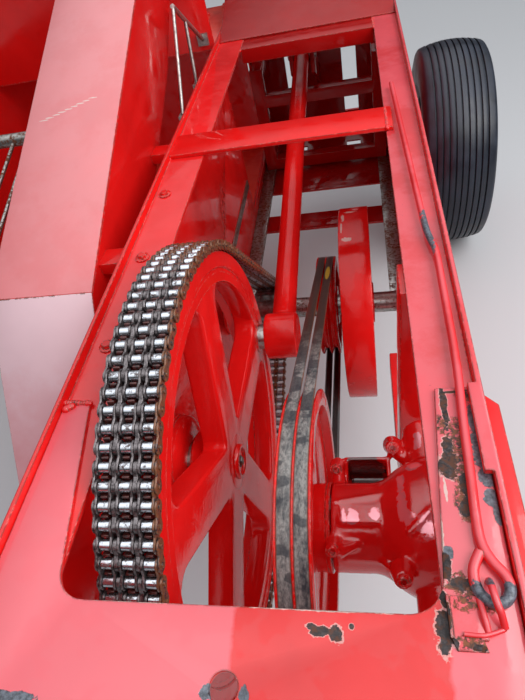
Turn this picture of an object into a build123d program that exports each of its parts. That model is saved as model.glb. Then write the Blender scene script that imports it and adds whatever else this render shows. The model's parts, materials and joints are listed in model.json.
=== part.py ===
from build123d import *
import os
from math import acos, asin, atan2, cos, degrees, hypot, pi, radians, sin, tan

os.makedirs("parts", exist_ok=True)

# The drive section of a small square baler: the end of the frame that carries the gearbox, the
# V-belt drive, the flywheel, the triplex chain and the big crank wheel with the plunger.
# Millimetres. X points to the right, Y to the rear, Z up. Everything is drawn from the centre of
# the crank wheel, and each piece is moved at the end so that the centre of the bolt pattern on the
# rear flange is the origin.

# Driving dimensions of the frame
RAIL_TOP = 270.0            # top of the rails' flanges
RAIL_THICK = 6.0            # steel of the rails
LIP_RISE = 13.0             # how far the rails' outer lips stand above the flanges
LIP_DROP = 34.0             # how far the lips hang below the flanges
CHAMBER_MID = 115.5         # middle of the chamber, to the right of the crank wheel's middle
LEFT_FLANGE = 72.0          # width of the left rail's flange
RIGHT_FLANGE = 61.0         # width of the right rail's flange
FRONT_END = -470.0          # front edge of the deck
CHAMBER_REST = 70.0         # from the plunger's face to the rear flange
FLOOR_LEVEL = -256.0        # underside of the side plates
PLATE_THICK = 6.0           # side plates
DECK_THICK = 5.0            # front deck sheet
DECK_EDGE = -299.0          # front edge of the deck's opening
DECK_ARM_END = -82.0        # rear ends of the deck's arms
DECK_CORNER = 30.0          # corners of the opening
DECK_LEFT_STEP = 8.0        # opening's left corner to the left rail's flange
DECK_LEFT_TAPER = 41.0      # how far the left arm narrows towards its end
DECK_RIGHT_TAPER = 16.0
APRON_DROP = 120.0
NOTCH_Y = -357.0            # round hole in the deck
NOTCH_R = 11.0
STEP_BAR = 8.0              # bar inside the right lip
STEP_BAR_END = -181.0
FLANGE_BAR = 46.0           # width of the rear flange's sides
BOLT_R = 8.5
WALL_FRONT = -360.0         # front edge of the left side plate
WALL_NOSE = 204.0           # depth of the left plate's front edge
WALL_MARGIN = 35.0          # left plate below the crank bearing's foot
CROSS_BAR_Y = 492.0
CROSS_BAR_WIDTH = 82.0
CROSS_BAR_THICK = 8.0
CROSS_BAR_LAP = 13.0        # on the right rail's flange
FLOOR_BAR_Y = 990.0
FLOOR_BAR_WIDTH = 85.0
POST_Y = 75.0
POST_SIZE = 60.0
POST_INSET = 2.0            # right post from the right wall
LOWER_RAIL_HEIGHT = 50.0
FLOOR_FRONT = 1210.0        # front edge of the chamber's floor
SLOT_SPREAD = 100.0         # needle slots from the chamber's middle
SLOT_WIDTH = 50.0
SLOT_FRONT = 1392.0         # needle slots in the floor
SLOT_LENGTH = 140.0
GUIDE_FRONT = 620.0         # plunger's guides
GUIDE_WIDTH = 40.0
STRIP_THICK = 4.0           # wear strips on the side plates
STRIP_LOW = -115.0
STRIP_HEIGHT = 23.0
SEAT_GAP = 0.3              # air left between a moving piece and its seat
RUNNING_GAP = 0.05          # radial clearance of a shaft in its bore

# Driving dimensions of the chain drive
CHAIN_PITCH = 19.05
STRAND_PITCH = 22.78
STRANDS = 3
LINK_HALF_HEIGHT = 8.5      # half the depth of a link plate
CHAIN_HALF_WIDTH = 36.0     # pin ends
CHAIN_VALLEY = 4.0          # depth between the rollers
CRANK_TEETH = 112
PINION_TEETH = 19
RIM_CLEARANCE = 0.3         # rim to the link plates
TOOTH_WIDTH = 11.1
RIM_INNER = 293.0           # outer edge of the windows
SPOKES = 5
SPOKE_WIDTH = 74.0
SPOKE_THICK = 36.0
WINDOW_FILLET = 17.0
WINDOW_LAND = 5.0           # left between the windows and the rim
WEB_SHIFT = 5.0             # spokes' middle to the right of the rim's
PIN_BOSS_GAP = 1.8          # crank pin's boss inside the rim's edge
CRANK_HUB_BACK = -38.0      # left face of the hub
CRANK_BEARING_R = 95.0      # foot of the crank shaft's bearing
CRANK_BEARING_GAP = 10.0    # bearing to the hub
FIRST_SPOKE = -4.0          # degrees from the rear, the spoke that carries the crank pin
CRANK_HUB_R = 50.0
CRANK_HUB_FACE = 31.0       # right face of the hub
CRANK_SHAFT_R = 32.0

# Driving dimensions of the crank and the plunger
CRANK_THROW = 295.0
CRANK_PIN_R = 24.0
BIG_END_LEFT = 42.0
BIG_END_RIGHT = 104.0
BIG_END_R = 45.0
ROD_R = 24.0                # tube of the connecting rod
ROD_LENGTH = 1130.0
WRIST_RISE = 112.0          # wrist pin above the crank wheel's centre
WRIST_PIN_R = 16.0
SMALL_END_R = 36.0
SMALL_END_WIDTH = 46.0
EAR_GAP = 3.0               # small end to the plunger's ears
EAR_THICK = 14.0
EAR_RISE = 30.0
PIN_PROUD = 5.0             # wrist pin outside the ears
PLUNGER_WIDTH = 424.0
PLUNGER_BOTTOM = -243.0
PLUNGER_TOP = 103.0
PLUNGER_LENGTH = 250.0
PLUNGER_SIDE_GAP = 9.5      # plunger to the side plates
PLUNGER_FACE_THICK = 12.0
PLUNGER_TUBE = 40.0         # square tube of its frame
FEED_START = 30.0           # feed opening behind the plunger's foremost face
FEED_LENGTH = 400.0
FEED_SILL = 41.0            # feed opening above the floor
FEED_HEAD = 59.0            # feed opening below the rail
WRIST_SETBACK = 60.0        # wrist pin behind the plunger's front

# Driving dimensions of the countershaft and the belts
COUNTER_Y = 527.0
COUNTER_Z = -165.0
COUNTER_R = 24.0
COUNTER_BEARING_R = 56.0
FLYWHEEL_R = 224.0
FLYWHEEL_LEFT = 186.0
FLYWHEEL_RIGHT = 250.0
FLYWHEEL_RIM = 40.0         # radial depth of the flywheel's rim
PULLEY_MID = 148.5          # middle of the belts
FRONT_PULLEY_Y = -105.0
FRONT_PULLEY_Z = -4.0
FRONT_PULLEY_R = 195.0
REAR_PULLEY_R = 117.0
BELTS = 2
BELT_PITCH = 19.4
BELT_TOP = 16.4
BELT_DEPTH = 11.0
BELT_SIDE = 18.0            # degrees, slope of a belt's side
BELT_GAP = 0.3
PULLEY_EDGE = 3.0           # land outside the last groove

# Driving dimensions of the gearbox
GEARBOX_X = 320.0           # axis of the input shaft
SNOUT_R = 56.0
SNOUT_LEFT = 178.0
DOME_R = 95.0               # round the bevel gears
DOME_RIGHT = 400.0          # right end of the dome
BELT_RING_R = 112.0         # flange that hangs the case on its plate
BELT_RING_THICK = 12.0
BOSS_R = 38.0               # bosses round the input shaft
BOSS_REAR = 155.0           # from the pulley shaft to the rear boss's end
CAP_BOLTS_R = 82.0          # bolt circle of the snout's cap
CAP_BOLTS_TURN = 14.0       # degrees from the rear, the first of its three bolts
CASE_BOLTS_R = 112.0        # bolt circle of the dome's joint
CASE_BOLTS_X = 262.0
CASE_BOLTS_TURN = 14.0
LUG_R = 12.0
FOOT_LEFT = 192.0           # hollow foot behind the snout
FOOT_RIGHT = 262.0
FOOT_REAR = 114.0           # from the pulley shaft
FOOT_DEEP = 60.0
FOOT_WALL = 6.0
INPUT_R = 17.5
INPUT_STEP = 2.5            # the shaft is thicker inside the case
INPUT_REACH = 132.0         # how far it stands out of the case
CASE_FRONT = 150.0          # from the pulley shaft to the front boss's end

# Driving dimensions of the road wheel
TYRE_R = 330.0
TYRE_WIDTH = 215.0
TYRE_OUT = 198.0            # middle of the tyre from the right wall
TYRE_Y = 1431.0
TYRE_Z = -271.0
BEAD_R = 178.0
TYRE_SHOULDER = 14.0        # fall of the tread towards its edges
TYRE_RIBS = 8
RIB_GROOVE = 9.0            # depth of the grooves between the ribs
GROOVE_HALF = 5.0
SPINDLE_R = 20.0

# Driving dimensions of the feed cover on the left
HOOD_GAP = 52.0             # feed cover from the left rail
HOOD_WIDTH = 180.0
HOOD_SEAM_Y = 150.0
HOOD_SEAM_Z = 246.0
HOOD_RISE = 22.0            # degrees, slope of the top panel
FEED_PANEL_Y = 1080.0       # upright panel that the hood runs up to
FEED_PANEL_LOW = 268.0
FEED_PANEL_TOP = 640.0
FEED_WIDTH = 430.0          # feed trough beyond the cover
TROUGH_FRONT = 560.0
TROUGH_END_TOP = 330.0
GUARD_Y = 640.0             # tube of the wind guard
GUARD_Z = 290.0
GUARD_TUBE_R = 14.0
GUARD_RODS = 10
GUARD_PITCH = 38.0
GUARD_ROD_R = 4.0
GUARD_REACH = 260.0
GUARD_FALL = 75.0
TRIP_OUT = 27.0             # the two thin trip rods from the left rail
TRIP_R = 4.0
NOSE_FALL = 52.0            # degrees, slope of the nose panel
NOSE_LENGTH = 330.0
SHEET = 3.0

# Driving dimensions of the bars, the cover and the hook
RIGHT_PLATE_FRONT = 400.0   # lower front corner of the right side plate
PLATE_HOLE_GAP = 5.0        # air round a shaft where it passes a side plate
REAR_BAR_Y = 1036.0
REAR_BAR_WIDTH = 84.0
REAR_BAR_HEIGHT = 36.0
COVER_LAP = 12.0            # rear cover on the rear bar
COVER_END = 1560.0
COVER_RISE = 130.0
POST_THICK = 30.0
SIDE_STRIP_Z = 250.0        # strip outside the right rail
SIDE_STRIP_WIDTH = 18.0
HOOK_ROD_R = 4.5
HOOK_INSET = 18.0           # hook's eye from the right lip
HOOK_Y = -276.0
HOOK_EYE_R = 13.0
HOOK_EYE_LENGTH = 29.0      # from the eye's middle to its point
LATCH_SIZE = 32.0
LATCH_THICK = 6.0
LATCH_PIN = 26.0            # height of the pin in the hook's eye

# Values worked out from the driving dimensions
HALF_WIDTH = PLUNGER_WIDTH / 2 + PLUNGER_SIDE_GAP + PLATE_THICK + RAIL_THICK
LEFT_OUTER = CHAMBER_MID - HALF_WIDTH
RIGHT_OUTER = CHAMBER_MID + HALF_WIDTH
LEFT_INNER = LEFT_OUTER + LEFT_FLANGE
RIGHT_INNER = RIGHT_OUTER - RIGHT_FLANGE
HOOK_Z = RAIL_TOP + DECK_THICK + HOOK_ROD_R
RAIL_UNDER = RAIL_TOP - RAIL_THICK
MOUNT_X = CHAMBER_MID
MOUNT_Z = (RAIL_TOP + FLOOR_LEVEL) / 2
LEFT_WALL = LEFT_OUTER + RAIL_THICK
PLATE_INSIDE = LEFT_WALL + PLATE_THICK
RIGHT_WALL = RIGHT_OUTER - RAIL_THICK
HOOK_X = RIGHT_WALL - HOOK_INSET
POST_X = RIGHT_WALL - POST_SIZE - POST_INSET
TYRE_X = RIGHT_WALL + TYRE_OUT
TRIP_X = LEFT_OUTER - TRIP_OUT
HOOD_RIGHT = LEFT_OUTER - HOOD_GAP
HOOD_LEFT = HOOD_RIGHT - HOOD_WIDTH
FEED_END = HOOD_LEFT - FEED_WIDTH
CRANK_PITCH_R = CHAIN_PITCH / 2 / sin(pi / CRANK_TEETH)
PINION_PITCH_R = CHAIN_PITCH / 2 / sin(pi / PINION_TEETH)
RIM_R = CRANK_PITCH_R - LINK_HALF_HEIGHT - RIM_CLEARANCE
PINION_R = PINION_PITCH_R - LINK_HALF_HEIGHT - RIM_CLEARANCE
RIM_HALF = STRAND_PITCH * (STRANDS - 1) / 2 + TOOTH_WIDTH / 2
PIN_Y = CRANK_THROW * cos(radians(FIRST_SPOKE))
PIN_Z = CRANK_THROW * sin(radians(FIRST_SPOKE))
ROD_X = (BIG_END_LEFT + BIG_END_RIGHT) / 2
WRIST_Y = PIN_Y + (ROD_LENGTH**2 - (WRIST_RISE - PIN_Z)**2)**0.5
PLUNGER_FRONT = WRIST_Y - WRIST_SETBACK
PLUNGER_BACK = PLUNGER_FRONT + PLUNGER_LENGTH
PLUNGER_STROKE = WRIST_Y - ((ROD_LENGTH - CRANK_THROW)**2 - WRIST_RISE**2)**0.5
FEED_FRONT = PLUNGER_BACK + PLUNGER_FACE_THICK - PLUNGER_STROKE + FEED_START
FLANGE_FACE = PLUNGER_BACK + PLUNGER_FACE_THICK + CHAMBER_REST
HOOD_RUN = FEED_PANEL_Y - HOOD_SEAM_Y
LOOP_RUN = hypot(COUNTER_Y, COUNTER_Z)
LOOP_LEAN = atan2(COUNTER_Z, COUNTER_Y)
LOOP_WRAP = acos((CRANK_PITCH_R - PINION_PITCH_R) / LOOP_RUN)
REAR_END = FLANGE_FACE + PLATE_THICK * 2
PULLEY_HALF = BELT_PITCH * (BELTS - 1) / 2 + BELT_TOP / 2 + BELT_GAP + PULLEY_EDGE


def block(x0, x1, y0, y1, z0, z1):
    """Return the block between two corners."""
    return Pos((x0 + x1) / 2, (y0 + y1) / 2, (z0 + z1) / 2) * Box(x1 - x0, y1 - y0, z1 - z0)


def bar_x(x0, x1, y, z, r):
    """Return a round bar along X."""
    return Pos((x0 + x1) / 2, y, z) * Rot(0, 90, 0) * Cylinder(r, x1 - x0)


def bar_y(x, y0, y1, z, r):
    """Return a round bar along Y."""
    return Pos(x, (y0 + y1) / 2, z) * Rot(90, 0, 0) * Cylinder(r, y1 - y0)


def bar_z(x, y, z0, z1, r):
    """Return a round bar along Z."""
    return Pos(x, y, (z0 + z1) / 2) * Cylinder(r, z1 - z0)


def ring_x(x0, x1, y, z, r_out, r_in):
    """Return a tube along X."""
    return bar_x(x0, x1, y, z, r_out) - bar_x(x0 - 1, x1 + 1, y, z, r_in)


def plate_yz(x0, x1, points):
    """Return a plate across X with its outline given as (y, z) points."""
    return extrude(Plane.YZ.offset(x0) * make_face(Polyline(*points, close=True)), amount=x1 - x0)


def plate_xy(z0, z1, points, corner=0.0, rounded=()):
    """Return a level plate with its outline given as (x, y) points and some corners rounded."""
    face = make_face(Polyline(*points, close=True))
    if rounded:
        picks = [v for v in face.vertices() for p in rounded if hypot(v.X - p[0], v.Y - p[1]) < 0.01]
        face = fillet(picks, corner)
    return extrude(Pos(0, 0, z0) * face, amount=z1 - z0)


def turned(profile, y, z):
    """Return the solid turned about the line along X through (y, z) from (x, radius) points."""
    face = make_face(Polyline(*profile, close=True))
    return Pos(0, y, z) * revolve(face, axis=Axis.X)


def rod_between(a, b, r):
    """Return a round bar from one point to another."""
    line = Vector(*b) - Vector(*a)
    plane = Plane(origin=Vector(*a), z_dir=line)
    return extrude(plane * Circle(r), amount=line.length)


def loop_face(y1, z1, r1, y2, z2, r2):
    """Return the face inside a tight band round two circles, as seen along X."""
    lean = atan2(z2 - z1, y2 - y1)
    wrap = acos((r1 - r2) / hypot(y2 - y1, z2 - z1))

    def on(y, z, r, angle):
        return (y + r * cos(lean + angle), z + r * sin(lean + angle))

    edges = [
        ThreePointArc(on(y1, z1, r1, wrap), on(y1, z1, r1, pi), on(y1, z1, r1, -wrap)),
        Line(on(y1, z1, r1, -wrap), on(y2, z2, r2, -wrap)),
        ThreePointArc(on(y2, z2, r2, -wrap), on(y2, z2, r2, 0), on(y2, z2, r2, wrap)),
        Line(on(y2, z2, r2, wrap), on(y1, z1, r1, wrap)),
    ]
    return make_face(edges)



def loop_point(distance, lift):
    """Return (y, z) at a distance along the chain's pitch line and a lift outwards from it."""
    arc1 = 2 * (pi - LOOP_WRAP) * CRANK_PITCH_R
    run = LOOP_RUN * sin(LOOP_WRAP)
    arc2 = 2 * LOOP_WRAP * PINION_PITCH_R
    if distance < arc1:
        angle = LOOP_LEAN + LOOP_WRAP + distance / CRANK_PITCH_R
        reach = CRANK_PITCH_R + lift
        return (reach * cos(angle), reach * sin(angle))
    if distance < arc1 + run:
        angle = LOOP_LEAN - LOOP_WRAP
        along = distance - arc1
        reach = CRANK_PITCH_R + lift
        return (reach * cos(angle) - along * sin(angle), reach * sin(angle) + along * cos(angle))
    if distance < arc1 + run + arc2:
        angle = LOOP_LEAN - LOOP_WRAP + (distance - arc1 - run) / PINION_PITCH_R
        reach = PINION_PITCH_R + lift
        return (COUNTER_Y + reach * cos(angle), COUNTER_Z + reach * sin(angle))
    angle = LOOP_LEAN + LOOP_WRAP
    along = distance - arc1 - run - arc2
    reach = PINION_PITCH_R + lift
    return (COUNTER_Y + reach * cos(angle) - along * sin(angle),
            COUNTER_Z + reach * sin(angle) + along * cos(angle))


def rail(outer, inner):
    """Return one side rail: a flange with a lip on its outer edge."""
    side = 1 if inner > outer else -1
    flange = block(min(outer, inner), max(outer, inner), FRONT_END, FLANGE_FACE,
                   RAIL_UNDER, RAIL_TOP)
    web = outer + side * RAIL_THICK
    lip = block(min(outer, web), max(outer, web), FRONT_END, FLANGE_FACE,
                RAIL_TOP - LIP_DROP, RAIL_TOP + LIP_RISE)
    return flange + lip


def rail_step():
    """Return the short bar inside the right rail's lip, on the deck's right arm."""
    return block(RIGHT_WALL - STEP_BAR, RIGHT_WALL, STEP_BAR_END, DECK_ARM_END,
                 RAIL_TOP + DECK_THICK, RAIL_TOP + LIP_RISE)


def chamber_floor():
    """Return the floor of the bale chamber with its two needle slots."""
    floor = block(LEFT_WALL, RIGHT_WALL, FLOOR_FRONT, FLANGE_FACE, FLOOR_LEVEL - PLATE_THICK,
                  FLOOR_LEVEL)
    for side in (-1, 1):
        slot = CHAMBER_MID + side * SLOT_SPREAD
        floor -= block(slot - SLOT_WIDTH / 2, slot + SLOT_WIDTH / 2, SLOT_FRONT,
                       SLOT_FRONT + SLOT_LENGTH, FLOOR_LEVEL - PLATE_THICK - 1, FLOOR_LEVEL + 1)
    return floor


def wear_strips():
    """Return the strips on the side plates beside the plunger, the left one up to the feed opening."""
    top = STRIP_LOW + STRIP_HEIGHT
    strips = [  # left side, rear end
        (PLATE_INSIDE, FEED_FRONT - STRIP_HEIGHT),
        (RIGHT_WALL - PLATE_THICK - STRIP_THICK, FLANGE_FACE),
    ]
    return Compound([block(x, x + STRIP_THICK, GUIDE_FRONT, rear, STRIP_LOW, top)
                     for x, rear in strips])


def deck():
    """Return the front deck, a U of sheet with rounded corners and a bent front apron."""
    left = LEFT_WALL + 1.0
    right = RIGHT_WALL - 1.0
    corner_left = (LEFT_INNER + DECK_LEFT_STEP, DECK_EDGE)
    corner_right = (RIGHT_INNER, DECK_EDGE)
    outline = [(left, FRONT_END), (right, FRONT_END), (right, DECK_ARM_END),
               (RIGHT_INNER + DECK_RIGHT_TAPER, DECK_ARM_END), corner_right, corner_left,
               (corner_left[0] - DECK_LEFT_TAPER, DECK_ARM_END), (left, DECK_ARM_END)]
    top = RAIL_TOP + DECK_THICK
    sheet = plate_xy(RAIL_TOP, top, outline, DECK_CORNER, (corner_left, corner_right))
    notch = bar_z(CHAMBER_MID + 7.5, NOTCH_Y, RAIL_TOP - 1, top + 1, NOTCH_R)
    apron = block(LEFT_INNER, RIGHT_INNER, FRONT_END, FRONT_END + DECK_THICK,
                  RAIL_TOP - APRON_DROP, RAIL_TOP)
    return sheet - notch + apron


def side_plate_left():
    """Return the left side plate, with the feed opening and the shafts' holes in it."""
    foot = -CRANK_BEARING_R - WALL_MARGIN
    outline = [(WALL_FRONT, RAIL_UNDER), (WALL_FRONT, RAIL_UNDER - WALL_NOSE), (WALL_FRONT / 2, foot),
               (COUNTER_Y / 2, foot - WALL_MARGIN), (COUNTER_Y * 0.8, FLOOR_LEVEL),
               (FLANGE_FACE, FLOOR_LEVEL), (FLANGE_FACE, RAIL_UNDER)]
    left = LEFT_WALL - 1
    right = PLATE_INSIDE + 1
    plate = plate_yz(LEFT_WALL, PLATE_INSIDE, outline)
    plate -= block(left, right, FEED_FRONT, FEED_FRONT + FEED_LENGTH, FLOOR_LEVEL + FEED_SILL,
                   RAIL_UNDER - FEED_HEAD)
    plate -= bar_x(left, right, 0, 0, CRANK_SHAFT_R + PLATE_HOLE_GAP)
    return plate - bar_x(left, right, COUNTER_Y, COUNTER_Z, COUNTER_R + PLATE_HOLE_GAP)


def side_plate_right():
    """Return the right side plate of the chamber, with the countershaft's hole."""
    outline = [(360.0, RAIL_UNDER), (RIGHT_PLATE_FRONT, 0.0), (RIGHT_PLATE_FRONT, FLOOR_LEVEL),
               (FLANGE_FACE, FLOOR_LEVEL), (FLANGE_FACE, RAIL_UNDER)]
    plate = plate_yz(RIGHT_WALL - PLATE_THICK, RIGHT_WALL, outline)
    return plate - bar_x(RIGHT_WALL - 10, RIGHT_WALL + 1, COUNTER_Y, COUNTER_Z,
                         COUNTER_R + PLATE_HOLE_GAP)


def rear_flange():
    """Return the bolting frame at the rear end, with its four bolt holes."""
    ring = block(LEFT_OUTER, RIGHT_OUTER, FLANGE_FACE, REAR_END, FLOOR_LEVEL, RAIL_TOP)
    front = FLANGE_FACE - 1
    ring -= block(LEFT_OUTER + FLANGE_BAR, RIGHT_OUTER - FLANGE_BAR, front, REAR_END + 1,
                  FLOOR_LEVEL + FLANGE_BAR, RAIL_TOP - FLANGE_BAR)
    inset = FLANGE_BAR / 2
    for x in (LEFT_OUTER + inset, RIGHT_OUTER - inset):
        for z in (FLOOR_LEVEL + inset, RAIL_TOP - inset):
            ring -= bar_y(x, front, REAR_END + 1, z, BOLT_R)
    return ring


def crank_bearing():
    """Return the ringed bearing housing behind the crank wheel."""
    bore = CRANK_SHAFT_R + RUNNING_GAP
    length = CRANK_HUB_BACK - CRANK_BEARING_GAP - PLATE_INSIDE
    steps = [  # share of the length from the side plate, share of the foot's radius
        (0.0, 1.0), (0.2, 1.0), (0.28, 0.82), (0.48, 0.82), (0.55, 0.7), (0.76, 0.7), (0.81, 0.59),
        (1.0, 0.59)]
    profile = [(PLATE_INSIDE + length * out, CRANK_BEARING_R * share) for out, share in steps]
    return turned([(PLATE_INSIDE, bore)] + profile + [(PLATE_INSIDE + length, bore)], 0, 0)


def flange_bearing(wall, out):
    """Return a flanged bearing for the countershaft on one wall, out being its direction."""
    bore = COUNTER_R + RUNNING_GAP
    steps = [(0.0, bore), (0.0, COUNTER_BEARING_R), (9.0, COUNTER_BEARING_R), (12.0, 38.0),
             (30.0, 36.0), (30.0, bore)]
    return turned([(wall + out * x, radius) for x, radius in steps], COUNTER_Y, COUNTER_Z)


def gearbox():
    """Return the bevel gearbox case: snout, dome, bosses, bolt lugs, hollow foot and flange."""
    y = FRONT_PULLEY_Y
    z = FRONT_PULLEY_Z
    meet = GEARBOX_X - (DOME_R**2 - SNOUT_R**2)**0.5
    right_r = (DOME_R**2 - (DOME_RIGHT - GEARBOX_X)**2)**0.5
    edges = [Line((SNOUT_LEFT, 0), (SNOUT_LEFT, SNOUT_R)), Line((SNOUT_LEFT, SNOUT_R), (meet, SNOUT_R)),
             ThreePointArc((meet, SNOUT_R), (GEARBOX_X, DOME_R), (DOME_RIGHT, right_r)),
             Line((DOME_RIGHT, right_r), (DOME_RIGHT, 0)), Line((DOME_RIGHT, 0), (SNOUT_LEFT, 0))]
    case = Pos(0, y, z) * revolve(make_face(edges), axis=Axis.X)
    case += bar_y(GEARBOX_X, y - CASE_FRONT, y + BOSS_REAR, z, BOSS_R)
    lugs = [  # x from, x to, bolt circle, turn in degrees
        (SNOUT_LEFT + 2, SNOUT_LEFT + 22, CAP_BOLTS_R, CAP_BOLTS_TURN),
        (CASE_BOLTS_X, CASE_BOLTS_X + 24, CASE_BOLTS_R, CASE_BOLTS_TURN),
    ]
    for x0, x1, reach, turn in lugs:
        for i in range(3):
            angle = turn + 120.0 * i
            arm = block(x0, x1, 0, reach, -LUG_R, LUG_R)
            lug = arm + bar_x(x0, x1, reach, 0, LUG_R)
            case += Pos(0, y, z) * Rot(angle, 0, 0) * lug
    rear = y + FOOT_REAR
    foot = block(FOOT_LEFT, FOOT_RIGHT, y, rear, z - FOOT_DEEP, z)
    foot -= block(FOOT_LEFT + FOOT_WALL, FOOT_RIGHT - FOOT_WALL, y + SNOUT_R / 2, rear - FOOT_WALL,
                  z - FOOT_DEEP + FOOT_WALL, z + 1)
    case += foot
    plate = RIGHT_OUTER + PLATE_THICK
    case += ring_x(plate, plate + BELT_RING_THICK, y, z, BELT_RING_R, SNOUT_R)
    case -= bar_x(SNOUT_LEFT - 1, GEARBOX_X - INPUT_R, y, z, COUNTER_R + RUNNING_GAP)
    shaft = INPUT_R + INPUT_STEP + RUNNING_GAP
    return case - bar_y(GEARBOX_X, y - CASE_FRONT - 1, y - COUNTER_R, z, shaft)


def crank_wheel():
    """Return the crank wheel: rim, spokes and hub."""
    left = WEB_SHIFT - SPOKE_THICK / 2
    web = bar_x(left, left + SPOKE_THICK, 0, 0, RIM_INNER + 6)
    half = SPOKE_WIDTH / 2
    step = 360.0 / SPOKES
    turn = radians(step / 2)
    edge_r = RIM_INNER - WINDOW_LAND
    side = turn - asin(half / edge_r)
    outer = [(edge_r * cos(a), edge_r * sin(a)) for a in (-side, 0.0, side)]
    tip = (half / sin(turn), 0)
    window = make_face([Line(tip, outer[0]), ThreePointArc(*outer), Line(outer[2], tip)])
    window = fillet(window.vertices(), WINDOW_FILLET)
    for i in range(SPOKES):
        middle = FIRST_SPOKE + step * (i + 0.5)
        web -= extrude(Plane.YZ.offset(-60) * Rot(0, 0, middle) * window, amount=120)
    rim = ring_x(-RIM_HALF, RIM_HALF, 0, 0, RIM_R, RIM_INNER)
    hub = bar_x(CRANK_HUB_BACK, CRANK_HUB_FACE, 0, 0, CRANK_HUB_R)
    boss = bar_x(left + 1, RIM_HALF - 1, PIN_Y, PIN_Z, RIM_R - CRANK_THROW - PIN_BOSS_GAP)
    wheel = web + rim + hub + boss
    wheel -= bar_x(-60, 60, 0, 0, CRANK_SHAFT_R)
    return wheel - bar_x(0.0, 60, PIN_Y, PIN_Z, CRANK_PIN_R)


def pulley(radius, y, z, hub_r, bore, web):
    """Return a V-belt pulley with its grooves, dished web and hub."""
    left = PULLEY_MID - PULLEY_HALF
    right = PULLEY_MID + PULLEY_HALF
    depth = BELT_DEPTH + 3.0
    slope = tan(radians(BELT_SIDE))
    top = BELT_TOP / 2 + BELT_GAP
    bottom = top - depth * slope
    floor = radius - depth
    rim_inner = floor - 10.0
    profile = [(left, rim_inner), (left, radius)]
    for i in range(BELTS):
        x = PULLEY_MID + BELT_PITCH * (i - (BELTS - 1) / 2)
        profile += [(x - top, radius), (x - bottom, floor), (x + bottom, floor), (x + top, radius)]
    profile += [(right, radius), (right, rim_inner)]
    body = turned(profile, y, z)
    body += ring_x(PULLEY_MID - web / 2, PULLEY_MID + web / 2, y, z, rim_inner + 2, bore)
    return body + ring_x(left, right, y, z, hub_r, bore)


def v_belt(x):
    """Return one V-belt, its middle at x: two turned stretches and two straight ones."""
    run = hypot(COUNTER_Y - FRONT_PULLEY_Y, COUNTER_Z - FRONT_PULLEY_Z)
    lean = atan2(COUNTER_Z - FRONT_PULLEY_Z, COUNTER_Y - FRONT_PULLEY_Y)
    wrap = acos((FRONT_PULLEY_R - REAR_PULLEY_R) / run)
    half = BELT_TOP / 2
    slim = half - BELT_DEPTH * tan(radians(BELT_SIDE))
    belt = None
    wheels = [  # y, z, radius, start and size of the turned stretch in degrees
        (FRONT_PULLEY_Y, FRONT_PULLEY_Z, FRONT_PULLEY_R, degrees(lean + wrap),
         360 - degrees(2 * wrap)),
        (COUNTER_Y, COUNTER_Z, REAR_PULLEY_R, degrees(lean - wrap), degrees(2 * wrap)),
    ]
    for y, z, radius, start, size in wheels:
        section = make_face(Polyline((x - half, radius), (x + half, radius),
                                     (x + slim, radius - BELT_DEPTH),
                                     (x - slim, radius - BELT_DEPTH), close=True))
        arc = revolve(section, axis=Axis.X, revolution_arc=size)
        arc = Pos(0, y, z) * Rot(start, 0, 0) * arc
        belt = arc if belt is None else belt + arc
    length = run * sin(wrap)
    for side, (y, z, radius) in ((-1, wheels[0][:3]), (1, wheels[1][:3])):
        angle = lean + side * wrap
        out = (cos(angle), sin(angle))
        plane = Plane(origin=(x, y + radius * out[0], z + radius * out[1]), x_dir=(1, 0, 0),
                      z_dir=(0, -out[1], out[0]))
        section = make_face(Polyline((-half, 0), (half, 0), (slim, -BELT_DEPTH),
                                     (-slim, -BELT_DEPTH), close=True))
        belt += extrude(plane * section, amount=length)
    return belt


def v_belts():
    """Return the V-belts side by side."""
    middle = (BELTS - 1) / 2
    return Compound([v_belt(PULLEY_MID + BELT_PITCH * (i - middle)) for i in range(BELTS)])


def chain():
    """Return the triplex chain as one loop round both sprockets, with a rib for each roller."""
    length = 2 * ((pi - LOOP_WRAP) * CRANK_PITCH_R + LOOP_WRAP * PINION_PITCH_R
                  + LOOP_RUN * sin(LOOP_WRAP))
    links = 2 * round(length / CHAIN_PITCH / 2)
    pitch = length / links
    ribs = [  # place along the pitch as a share of it, lift from the pitch line
        (0.02, LINK_HALF_HEIGHT - CHAIN_VALLEY), (0.22, LINK_HALF_HEIGHT), (0.56, LINK_HALF_HEIGHT),
        (0.76, LINK_HALF_HEIGHT - CHAIN_VALLEY)]
    points = [loop_point((i + share) * pitch, lift) for i in range(links) for share, lift in ribs]
    inside = loop_face(0.0, 0.0, CRANK_PITCH_R - LINK_HALF_HEIGHT, COUNTER_Y, COUNTER_Z,
                       PINION_PITCH_R - LINK_HALF_HEIGHT)
    face = make_face(Polyline(*points, close=True)) - inside
    return extrude(Plane.YZ.offset(-CHAIN_HALF_WIDTH) * face, amount=2 * CHAIN_HALF_WIDTH)


def flywheel():
    """Return the flat-rimmed flywheel with its web and hub."""
    wheel = ring_x(FLYWHEEL_LEFT, FLYWHEEL_RIGHT, COUNTER_Y, COUNTER_Z, FLYWHEEL_R,
                   FLYWHEEL_R - FLYWHEEL_RIM)
    middle = (FLYWHEEL_LEFT + FLYWHEEL_RIGHT) / 2
    wheel += ring_x(middle - 9, middle + 9, COUNTER_Y, COUNTER_Z,
                    FLYWHEEL_R - FLYWHEEL_RIM + 2, COUNTER_R)
    return wheel + ring_x(middle - 36, middle + 36, COUNTER_Y, COUNTER_Z, 48.0, COUNTER_R)


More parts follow.
